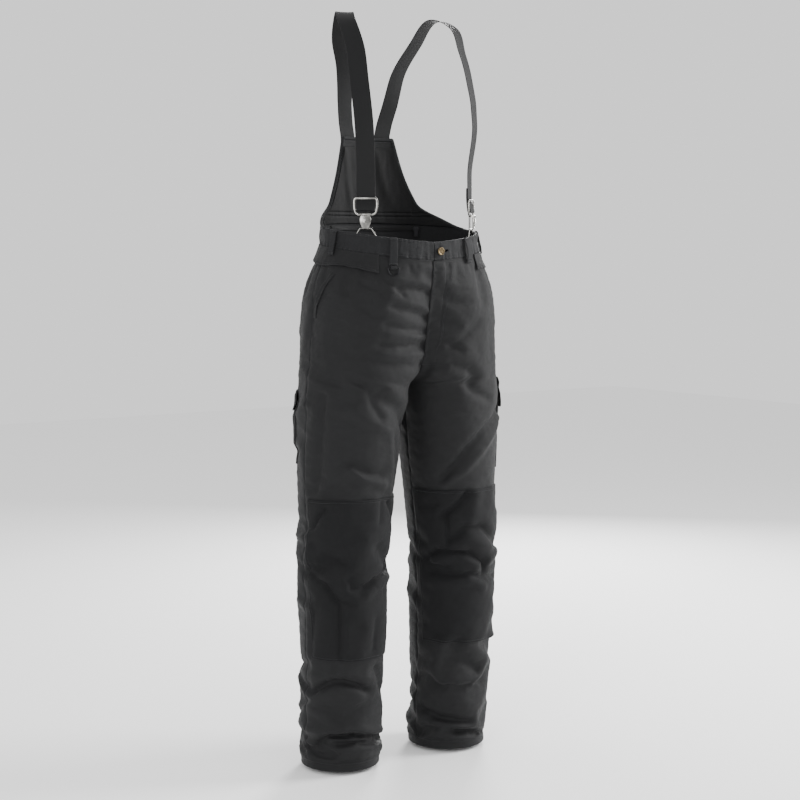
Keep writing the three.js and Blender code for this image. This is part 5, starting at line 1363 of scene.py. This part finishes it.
def tooth_row(name, places, across, out, body, covers=(), size=(2.3, 1.5, 1.3)):
    """Small blocks with tapered tops. places are centres, across and out are directions."""
    along = np.cross(across, out)
    corner = [(-1, -1, -1), (1, -1, -1), (1, 1, -1), (-1, 1, -1),
              (-0.7, -0.7, 1), (0.7, -0.7, 1), (0.7, 0.7, 1), (-0.7, 0.7, 1)]
    quads = [(0, 3, 2, 1), (4, 5, 6, 7), (0, 1, 5, 4), (1, 2, 6, 5), (2, 3, 7, 6), (3, 0, 4, 7)]
    points, faces = [], []
    for k in range(len(places)):
        for a, b, c in corner:
            points.append(places[k] + across[k] * a * size[0] / 2 + along[k] * b * size[1] / 2
                          + out[k] * c * size[2] / 2)
        faces += [tuple(k * 8 + v for v in q) for q in quads]
    points = np.array(points)
    return finish_piece(name, points, outward(points, faces), RESIN, body,
                        np.zeros((len(points), 2)), None, covers, flat=True)


for side in SIDES:
    word = SIDES[side]
    z = np.linspace(-46, -203, 90)
    path = np.stack([side * 7.4 + 0 * z, zip_line(z), z], -1)
    sweep("fly_tape_" + word, path, band_outline(13.2, 0.9), (0, 1, 0), WEBBING,
          covers=["zip_tape_" + word])
    z = np.arange(-48.0 + 1.1 * (side == LEFT), -201.5, -2.2)
    places = np.stack([side * 1.0 + 0 * z, zip_line(z), z], -1)
    tooth_row("fly_teeth_" + word, places, np.tile([1.0, 0, 0], (len(z), 1)),
              np.tile([0, -1.0, 0], (len(z), 1)), "trousers", size=(2.9, 1.4, 2.2))
turn = np.linspace(-41, 41, 120)
tape_s = 1 - np.abs(turn) / 180
for label, drop in (("upper", 1.9), ("lower", 7.1)):
    signed = tape_s * np.where(turn > 0, 1, -1)
    centre = lay_round(signed, 34.0 - drop + 0 * turn, -6.9)
    outwards = lay_round(signed, 34.0 - drop + 0 * turn, -5.9) - centre
    sweep("panel_zip_tape_" + label, centre, band_outline(4.0, 0.9), outwards, WEBBING,
          covers=["panel_zip"] if label == "upper" else ())
for label, offset in (("upper", 0.0), ("lower", 1.1)):
    step = np.linspace(-40, 40, 104) + offset / 2.4
    signed = (1 - np.abs(step) / 180) * np.where(step > 0, 1, -1)
    level = 34.0 - (3.9 if label == "upper" else 5.1)
    centre = lay_round(signed, level + 0 * step, -6.9)
    outwards = lay_round(signed, level + 0 * step, -5.9) - centre
    up = np.tile([0, 0, 1.0], (len(step), 1))
    tooth_row("panel_zip_teeth_" + label, centre, up, outwards, "trousers", size=(2.0, 1.2, 1.5))

# %% [markdown]
# ## Braces
#
# Each brace is elastic webbing that runs over the shoulder, down through the loop frame, round
# its cross bar and back up behind itself. The path is a smooth curve through fixed points.

# %% Brace path
CLIP_FACING = math.atan2(math.cos(39 * DEG) * DEPTH, math.sin(39 * DEG) * WAIST_HALF)
CLIP_AT = np.array([133.021, -68.872, 0.0])
CLIP_OUT = np.array([math.sin(CLIP_FACING), -math.cos(CLIP_FACING), 0])
FRAME_TOP, FRAME_FOOT, CROSS_BAR_Z, BRACE_TOP = 89, 52, 64.6, 466
WIDE = 38


def on_clip(y, z):
    return np.array([*(CLIP_AT - CLIP_OUT * y)[:2], z])


TAIL = DEPTH + 3 + 0.035 * (PANEL_TOP - BAND_RISE) + 1.1
knots = [((44, TAIL - 0.8, 194), 0), ((44, TAIL, 222), 0), ((49, TAIL - 1, 250), 0), ((57.5, 122, 290), 0),
         ((70, 104, 362), 0.25), ((95, 81, 418), 0.35), ((112, 41, BRACE_TOP), 0.6), ((135, -2, 449), 0.65),
         ((135, -34, 393), 0.8), ((139.5, -57, 321), 0.85), ((138.5, -72, 234), 0.95)]
knots += [(on_clip(y, z), 1) for y, z in (
    (3, 150), (3.2, 112), (3.2, 92), (2.9, 83), (-1.6, CROSS_BAR_Z + 6))]
for k in range(9):
    a = math.pi + math.pi * k / 8
    knots.append((on_clip(2.95 * math.cos(a), CROSS_BAR_Z + 2.95 * math.sin(a)), 1))
knots += [(on_clip(y, z), 1) for y, z in ((4.4, CROSS_BAR_Z + 10), (5.6, 92), (5.6, 112))]
knot_points = np.array([p for p, _ in knots], float)
knot_turns = np.array([t for _, t in knots], float)


def curve_point(place):
    """A centripetal Catmull-Rom curve through the knots."""
    n = len(knot_points)
    i = min(int(place), n - 2)
    w = place - i
    p1, p2 = knot_points[i], knot_points[i + 1]
    p0 = knot_points[i - 1] if i > 0 else 2 * p1 - p2
    p3 = knot_points[i + 2] if i + 2 < n else 2 * p2 - p1
    d0, d1, d2 = (max(np.linalg.norm(b - a), 1e-8) ** 0.5 for a, b in ((p0, p1), (p1, p2), (p2, p3)))
    m1 = ((p1 - p0) / d0 - (p2 - p0) / (d0 + d1) + (p2 - p1) / d1) * d1
    m2 = ((p2 - p1) / d1 - (p3 - p1) / (d1 + d2) + (p3 - p2) / d2) * d1
    return ((2 * w ** 3 - 3 * w ** 2 + 1) * p1 + (w ** 3 - 2 * w ** 2 + w) * m1 + (3 * w ** 2 - 2 * w ** 3)
            * p2 + (w ** 3 - w ** 2) * m2)


# %% Braces
spots = []
for i in range(len(knots) - 1):
    steps = 14 if i < 11 else 7
    spots += [i + k / steps for k in range(steps)]
spots.append(len(knots) - 1.0)
path = np.array([curve_point(p) for p in spots])
turns = np.interp(spots, np.arange(len(knots)), knot_turns)
across_angle = -0.1 + (CLIP_FACING + 0.1) * turns
across = np.stack([np.cos(across_angle), np.sin(across_angle), 0 * across_angle], -1)
forward = np.gradient(path, axis=0)
out = np.cross(forward, across)
out /= np.linalg.norm(out, axis=1, keepdims=True)
run = np.concatenate([[0], np.cumsum(np.linalg.norm(np.diff(path, axis=0), axis=1))])
free = np.clip(np.minimum(run - 50, np.interp(11.0, spots, run) - run) / 60, 0, 1)
wobble = 0.7 * free * ripple_noise(run, 0 * run, 131, 95)
u = np.array([0, 0.006, 0.016, 0.035, 0.06, 0.1, 0.18, 0.3, 0.4, 0.5, 0.6, 0.7, 0.82, 0.9, 0.94, 0.965,
              0.984, 0.994, 1])
edge = rounded(np.minimum(u, 1 - u) * WIDE, 0.8)
thick = 0.8 * (0.35 + 0.65 * edge) + 0.12 * np.exp(-((np.minimum(u, 1 - u) * WIDE - 1.6) / 0.7) ** 2)
for side in SIDES:
    centre = path[:, None] + across[:, None] * ((u - 0.5) * WIDE)[None, :, None]
    cup = (free * 0.8)[:, None] * (np.abs(2 * u - 1) ** 2)[None, :] + wobble[:, None]
    front = centre + out[:, None] * (cup + thick[None, :])[..., None]
    back = centre + out[:, None] * (cup - thick[None, :])[..., None]
    front[..., 0] *= side
    back[..., 0] *= side
    uv = np.stack(np.broadcast_arrays((u * WIDE)[None, :], run[:, None]), -1)
    cloth_solid("brace_webbing_" + SIDES[side], front, back, WEBBING,
                covers=["brace_" + SIDES[side]], uv=uv,
                wear_and_highlight=np.broadcast_to(0.6 * (1 - edge), front.shape[:2]))
box_lines = []
for side in SIDES:
    def on_foot(x, z, side=side):
        y = TAIL + 1.0 + 0 * z
        return np.stack([side * x, y, z], -1), np.tile([0, 1.0, 0], (len(z), 1))
    t = np.linspace(0, 1, 40)
    corners = [((28, 197), (60, 197)), ((60, 197), (60, 217)), ((60, 217), (28, 217)),
               ((28, 217), (28, 197)), ((28, 197), (60, 217)), ((60, 197), (28, 217))]
    for (x0, z0), (x1, z1) in corners:
        box_lines.append(on_foot(x0 + (x1 - x0) * t, z0 + (z1 - z0) * t))
stitches("brace_foot_stitching", box_lines, pitch=3.0, length=2.3)
print("brace length", round(float(run[-1])), "mm")

# %% [markdown]
# ## Brace clips
#
# A clip has a loop frame for the webbing, a bent body plate, a lever on a pin and a
# triangular ring. They are modelled in the clip's own frame and then turned into place.

# %% Clips
def in_place(points, side):
    a = side * CLIP_FACING
    p = np.asarray(points, float)
    x = p[..., 0] * math.cos(a) - p[..., 1] * math.sin(a) + side * CLIP_AT[0]
    y = p[..., 0] * math.sin(a) + p[..., 1] * math.cos(a) + CLIP_AT[1]
    return np.stack([x, y, p[..., 2]], -1)


def turned(direction, side):
    return in_place(np.asarray(direction, float), side) - in_place(np.zeros(3), side)


def bend(p0, p1, p2, count=8):
    t = np.linspace(0, 1, count)[:, None]
    p0, p1, p2 = (np.asarray(p, float) for p in (p0, p1, p2))
    return (1 - t) ** 2 * p0 + 2 * t * (1 - t) * p1 + t * t * p2


def even_line(points, step):
    """Points spaced evenly along a line of points."""
    points = np.asarray(points, float)
    length = np.concatenate([[0], np.cumsum(np.linalg.norm(np.diff(points, axis=0), axis=1))])
    at = np.linspace(0, length[-1], max(4, int(length[-1] / step)))
    return np.stack([np.interp(at, length, points[:, k]) for k in range(points.shape[1])], -1)


def frame_line():
    h = 25 - 2.1
    t, f = FRAME_TOP - 2.1, FRAME_FOOT + 2.1
    right = np.concatenate([
        [[0, t]], bend((h - 5, t), (h - 0.4, t), (h + 0.1, t - 5)), bend((h + 0.1, t - 5), (h + 0.6,
                t - 16), (h - 1, t - 24)),
        bend((h - 1, t - 24), (h - 2.6, f + 1), (h - 9.6, f)), [[0, f]]])
    left = right[::-1][1:-1] * [-1, 1]
    loop = even_line(np.concatenate([right, left, right[:1]]), 1.6)[:-1]
    return np.stack([loop[:, 0], 0 * loop[:, 0], loop[:, 1]], -1)


def oblong(width, height, count=20, power=0.62):
    a = np.arange(count) / count * 2 * math.pi
    c, s = np.cos(a), np.sin(a)
    return np.stack([width / 2 * np.sign(c) * np.abs(c) ** power,
                     height / 2 * np.sign(s) * np.abs(s) ** power], -1)


def metal_rod(name, side, radius, length, y, z, body, covers=()):
    x = np.array([-1, -0.99, -0.97, -0.94, 0.94, 0.97, 0.99, 1.0]) * length / 2
    fade = np.minimum(1, np.array([0.45, 0.72, 0.92, 1, 1, 0.92, 0.72, 0.45]))
    path = in_place(np.stack([x, y + 0 * x, z + 0 * x], -1), side)
    return sweep(name, path, circle(radius, 20), (0, 0, 1), NICKEL, body, covers=covers, scale=fade)


def plate_along(name, side, line, width, thick, body, covers=(), material=None):
    """A bent plate: a line of (y, z) points carried across the clip's width."""
    line = even_line(line, 0.9)
    path = in_place(np.stack([0 * line[:, 0], line[:, 0], line[:, 1]], -1), side)
    sideways = turned((1, 0, 0), side)
    forward = np.gradient(path, axis=0)
    up = np.cross(sideways, forward)
    up /= np.linalg.norm(up, axis=1, keepdims=True)
    return sweep(name, path, band_outline(width, thick), up, material or NICKEL, body, covers=covers)


def arc(y, z, radius, start, end, count=14):
    a = np.linspace(start, end, count) * DEG
    return np.stack([y + radius * np.cos(a), z + radius * np.sin(a)], -1).tolist()


PIN_Y, PIN_Z, RING_Y, RING_TOP, RING_FOOT = -6.3, FRAME_FOOT + 2.6, 0.4, 27, 6
BAR_BACK, BAR_TOP = 1.7 + 0.35 + 0.65, FRAME_FOOT + 4.2 + 0.35 + 0.65
body_line = [[-BAR_BACK, FRAME_FOOT - 1.5], [-BAR_BACK, BAR_TOP - 1], [-BAR_BACK + 1, BAR_TOP],
             [BAR_BACK - 1, BAR_TOP], [BAR_BACK, BAR_TOP - 1], [BAR_BACK, FRAME_FOOT - 2],
             [RING_Y + 2.3, RING_TOP + 4], *arc(RING_Y, RING_TOP, 2.3, 0, -180)]


def lever_face(u, v, back):
    half = 8.6 + 3.15 * np.sin(math.pi * np.minimum(1, v * 1.35)) ** 0.7
    half = half * np.where(v > 0.74, np.sqrt(np.maximum(0.12, 1 - ((v - 0.74) / 0.27) ** 2)), 1)
    side_round = rounded(np.minimum(u, 1 - u) * 20, 1.1)
    end_round = rounded(np.minimum(v, 1 - v) * 28, 1.1)
    shape = np.minimum(side_round, end_round)
    bulge = 2.6 * np.sin(math.pi * v) * (1 - 0.6 * (2 * u - 1) ** 2)
    rib = 0.5 * np.exp(-((2 * u - 1) / 0.5) ** 4) * np.exp(-((v - 0.52) / 0.26) ** 4)
    y = PIN_Y + 1.2 - bulge + 1.4 * v
    y = np.where(back, y - 1.1 + 1.1 * shape, y - 1.1 - 1.1 * shape - rib)
    return np.stack([(2 * u - 1) * half, y, PIN_Z - 1 - 28 * v + 0 * u], -1)


def ring_line():
    corners = [(11.5, RING_TOP), (24, RING_FOOT), (-24, RING_FOOT), (-11.5, RING_TOP)]
    line = []
    for i, corner in enumerate(corners):
        here, before, after = (np.array(corners[k % 4], float) for k in (i, i + 3, i + 1))
        a = here + (before - here) / np.linalg.norm(before - here) * 3.4
        b = here + (after - here) / np.linalg.norm(after - here) * 3.4
        line.append(bend(a, here, b, 7))
    loop = np.concatenate(line)
    loop = even_line(np.concatenate([loop, loop[:1]]), 1.2)[:-1]
    return np.stack([loop[:, 0], RING_Y + 0 * loop[:, 0], loop[:, 1]], -1)


def block(name, side, low, high, body, round_by=0.35):
    bpy.ops.object.select_all(action="DESELECT")
    bpy.ops.mesh.primitive_cube_add(size=1, location=(0, 0, 0))
    ob = bpy.context.object
    low, high = np.array(low, float), np.array(high, float)
    for vertex in ob.data.vertices:
        vertex.co = Vector((low + (high - low) * (np.array(vertex.co) + 0.5)) * MM)
    bevel = ob.modifiers.new("Bevel", "BEVEL")
    bevel.width = round_by * MM
    bevel.segments = 3
    bpy.ops.object.modifier_apply(modifier="Bevel")
    for vertex in ob.data.vertices:
        vertex.co = Vector(in_place(np.array(vertex.co) / MM, side) * MM)
    ob.name = name
    ob.data.materials.append(NICKEL)
    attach(ob, body)


u_line = edge_steps(20, 1.0, 2.2)[None, :]
v_line = edge_steps(28, 1.0, 2.2)[:, None]
for side in SIDES:
    word = SIDES[side]
    clip_body, lever_body, ring_body = "clip_" + word, "lever_" + word, "ring_" + word
    sweep("clip_frame_metal_" + word, in_place(frame_line(), side), oblong(4.2, 3.4),
          turned((0, 1, 0), side), NICKEL, clip_body, closed=True, covers=["clip_frame_" + word])
    metal_rod("clip_cross_bar_" + word, side, 1.8, 41.6, 0, CROSS_BAR_Z, clip_body)
    plate_along("clip_plate_" + word, side, body_line, 14, 1.3, clip_body, ["clip_body_" + word])
    block("clip_crown_" + word, side, (-11, -BAR_BACK - 0.65, PIN_Z - 2.1),
          (11, -BAR_BACK + 0.65, PIN_Z + 2.1), clip_body)
    for label, x0 in (("a", -11), ("b", 9.6)):
        block("clip_ear_%s_%s" % (label, word), side, (x0, PIN_Y - 2.1, PIN_Z - 2.1),
              (x0 + 1.4, -BAR_BACK, PIN_Z + 2.1), clip_body)
    metal_rod("clip_pin_metal_" + word, side, 1.0, 22, PIN_Y, PIN_Z, clip_body, ["clip_pin_" + word])
    uu, vv = np.broadcast_arrays(u_line, v_line)
    cloth_solid("clip_lever_metal_" + word, in_place(lever_face(uu, vv, False), side),
                in_place(lever_face(uu, vv, True), side), NICKEL, lever_body,
                ["clip_lever_" + word])
    metal_rod("clip_knuckle_" + word, side, 2.5, 17.2, PIN_Y, PIN_Z, lever_body)
    sweep("clip_ring_wire_" + word, in_place(ring_line(), side), circle(1.3, 16), turned((0, 1, 0), side),
          NICKEL, ring_body, closed=True, covers=["clip_ring_" + word])
    tab_line = [[-1.4, -19], [-0.9, -10], [-1.6, 0], *arc(RING_Y, RING_FOOT, 2.35, 180, 0), [2.15, 0],
                [0.6, -10], [0.1, -19]]
    plate_along("ring_tab_webbing_" + word, side, tab_line, 34, 1.4, "trousers", ["ring_tab_" + word],
                WEBBING)
print("clips made")

# %% [markdown]
# ## Button and D-ring
#
# The button is a profile spun round its own axis, with a turned rim and a sunk middle.

# %% Button
BUTTON_AT = np.array([14.0, -120.33, -19.0])
BUTTON_TURN = math.atan((14 / WAIST_HALF ** 2) * (DEPTH ** 2 / 120.33))
profile = [(0.0, 5.9), (2.6, 5.85), (4.6, 5.7), (5.3, 5.75), (5.9, 6.25), (6.6, 6.6), (7.5, 6.45),
           (8.2, 5.7), (8.5, 4.7), (8.3, 3.8), (7.5, 3.15), (5.0, 2.9), (2.3, 2.75), (2.2, 1.5),
           (2.2, -4.7), (1.9, -4.9), (0.0, -4.9)]
mesh = bpy.data.meshes.new("button_metal")
mesh.from_pydata([(r * MM, 0, h * MM) for r, h in profile], [(i, i + 1) for i in range(len(profile) - 1)], [])
button = bpy.data.objects.new("button_metal", mesh)
bpy.context.scene.collection.objects.link(button)
bpy.ops.object.select_all(action="DESELECT")
button.select_set(True)
bpy.context.view_layer.objects.active = button
bpy.ops.object.mode_set(mode="EDIT")
bpy.ops.mesh.select_all(action="SELECT")
bpy.ops.mesh.spin(steps=64, angle=2 * math.pi, center=(0, 0, 0), axis=(0, 0, 1))
bpy.ops.mesh.select_all(action="SELECT")
bpy.ops.mesh.remove_doubles(threshold=0.00002)
bpy.ops.mesh.normals_make_consistent(inside=False)
bpy.ops.object.mode_set(mode="OBJECT")
axis_out = np.array([math.sin(BUTTON_TURN), -math.cos(BUTTON_TURN), 0])
axis_side = np.array([math.cos(BUTTON_TURN), math.sin(BUTTON_TURN), 0])
for vertex in mesh.vertices:
    a, b, h = np.array(vertex.co) / MM
    vertex.co = Vector((BUTTON_AT + axis_side * a + np.array([0, 0, 1.0]) * b + axis_out * h) * MM)
bpy.ops.object.shade_smooth_by_angle(angle=math.radians(38))
mesh.materials.append(OLD_BRASS)
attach(button, "button")
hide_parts("waist_button")

# %% D-ring and its tunnel
ring_z = float(band_top(1 / 6)) - BAND_HEIGHT - 20
ring_seat = lay_plain(RIGHT, 1 / 6, ring_z)
ring_beside = lay_plain(RIGHT, 1 / 6 + 0.005, ring_z)
ring_turn = math.atan2(ring_seat[1] - ring_beside[1], ring_seat[0] - ring_beside[0])


def on_ring(x, y, z):
    x, y, z = (np.asarray(v, float) for v in np.broadcast_arrays(x, y, z))
    c, s = math.cos(ring_turn), math.sin(ring_turn)
    return np.stack([ring_seat[0] + c * x - s * y, ring_seat[1] + s * x + c * y, ring_seat[2] + z], -1)


a = np.linspace(0, 345, 40) * DEG
tube_y, tube_z = -7.9, -2.0
outer_r, inner_r = 3.4, 1.95
across = np.array([-6.6, -6.4, -5.8, -4, 0, 4, 5.8, 6.4, 6.6])[:, None]
shrink = np.array([0.55, 0.2, 0, 0, 0, 0, 0, 0.2, 0.55])[:, None]
outer = on_ring(across + 0 * a, tube_y + (outer_r - shrink) * np.cos(a),
                tube_z + (outer_r - shrink) * np.sin(a))
inner = on_ring(across + 0 * a, tube_y + inner_r * np.cos(a), tube_z + inner_r * np.sin(a))
cloth_solid("ring_tunnel", outer, inner, BAND)
t = np.linspace(0, 1, 40)[:, None]
top_line = np.stack([np.linspace(-9.5, 9.5, 16), np.zeros(16)], -1)
corner_r = bend((9.5, 0), (11.5, 0), (11.5, -2))
bow = ((1 - t) ** 3 * [11.5, -2] + 3 * t * (1 - t) ** 2 * [11.5, -20.7] + 3 * t * t * (1 - t)
       * [-11.5, -20.7] + t ** 3 * [-11.5, -2])
corner_l = bend((-11.5, -2), (-11.5, 0), (-9.5, 0))
loop = even_line(np.concatenate([top_line, corner_r, bow, corner_l, top_line[:1]]), 1.1)[:-1]
sweep("d_ring_metal", on_ring(loop[:, 0], tube_y, tube_z + loop[:, 1]), circle(1.5, 16),
      (math.sin(ring_turn), -math.cos(ring_turn), 0), DARK_METAL, "d_ring", closed=True,
      covers=["d_ring"])
print("button and D-ring made")

# %% [markdown]
# ## Parts kept from the CAD
#
# The small metal parts of the zips and the button's tack are kept. They only get a material.

# %% CAD parts
for name in ("fly_zip_slider", "fly_zip_pull", "panel_zip_slider", "panel_zip_pull", "button_tack"):
    node = bpy.data.objects[name]
    node.data.materials.clear()
    node.data.materials.append(OLD_BRASS if name == "button_tack" else DARK_METAL)

# %% [markdown]
# ## Stage, light and camera
#
# A pale floor and a white surrounding. The key light comes from the right, a rim light behind
# it draws the edge of the far leg and brace, and a weak fill stands on the left.

# %% Stage, lights and camera
bpy.ops.object.select_all(action="DESELECT")
bpy.ops.mesh.primitive_plane_add(size=14, location=(0, 0, -1.098))
floor = bpy.context.object
floor.name = "floor"
white = bpy.data.materials.new("pale floor")
white.use_nodes = True
white.node_tree.nodes["Principled BSDF"].inputs["Base Color"].default_value = (0.93, 0.93, 0.93, 1)
white.node_tree.nodes["Principled BSDF"].inputs["Roughness"].default_value = 0.9
white.node_tree.nodes["Principled BSDF"].inputs["Specular IOR Level"].default_value = 0.1
floor.data.materials.append(white)
world = bpy.data.worlds.new("studio")
bpy.context.scene.world = world
world.use_nodes = True
world.node_tree.nodes["Background"].inputs[0].default_value = (1, 1, 1, 1)
world.node_tree.nodes["Background"].inputs[1].default_value = 1.15


def area_light(name, place, target, size, watts):
    light = bpy.data.lights.new(name, "AREA")
    light.shape = "RECTANGLE"
    light.size, light.size_y = size
    light.energy = watts
    ob = bpy.data.objects.new(name, light)
    ob.location = place
    ob.rotation_euler = (Vector(target) - Vector(place)).to_track_quat("-Z", "Y").to_euler()
    bpy.context.scene.collection.objects.link(ob)


area_light("key", (2.6, -1.1, 0.9), (0, 0, -0.45), (1.1, 2.2), 135)
area_light("rim", (1.9, 1.9, 0.7), (0, 0, -0.3), (0.7, 2.0), 120)
area_light("fill", (-3.2, -1.8, 0.5), (0, 0, -0.4), (1.5, 2.2), 62)
camera = bpy.data.cameras.new("camera")
camera.lens, camera.sensor_width = 75, 36
camera.dof.use_dof = False
camera_object = bpy.data.objects.new("camera", camera)
camera_object.location = (-2.008, -2.867, -0.016)
camera_object.rotation_euler = (math.radians(90 - 5.15), 0, math.radians(-35))
bpy.context.scene.collection.objects.link(camera_object)
bpy.context.scene.camera = camera_object
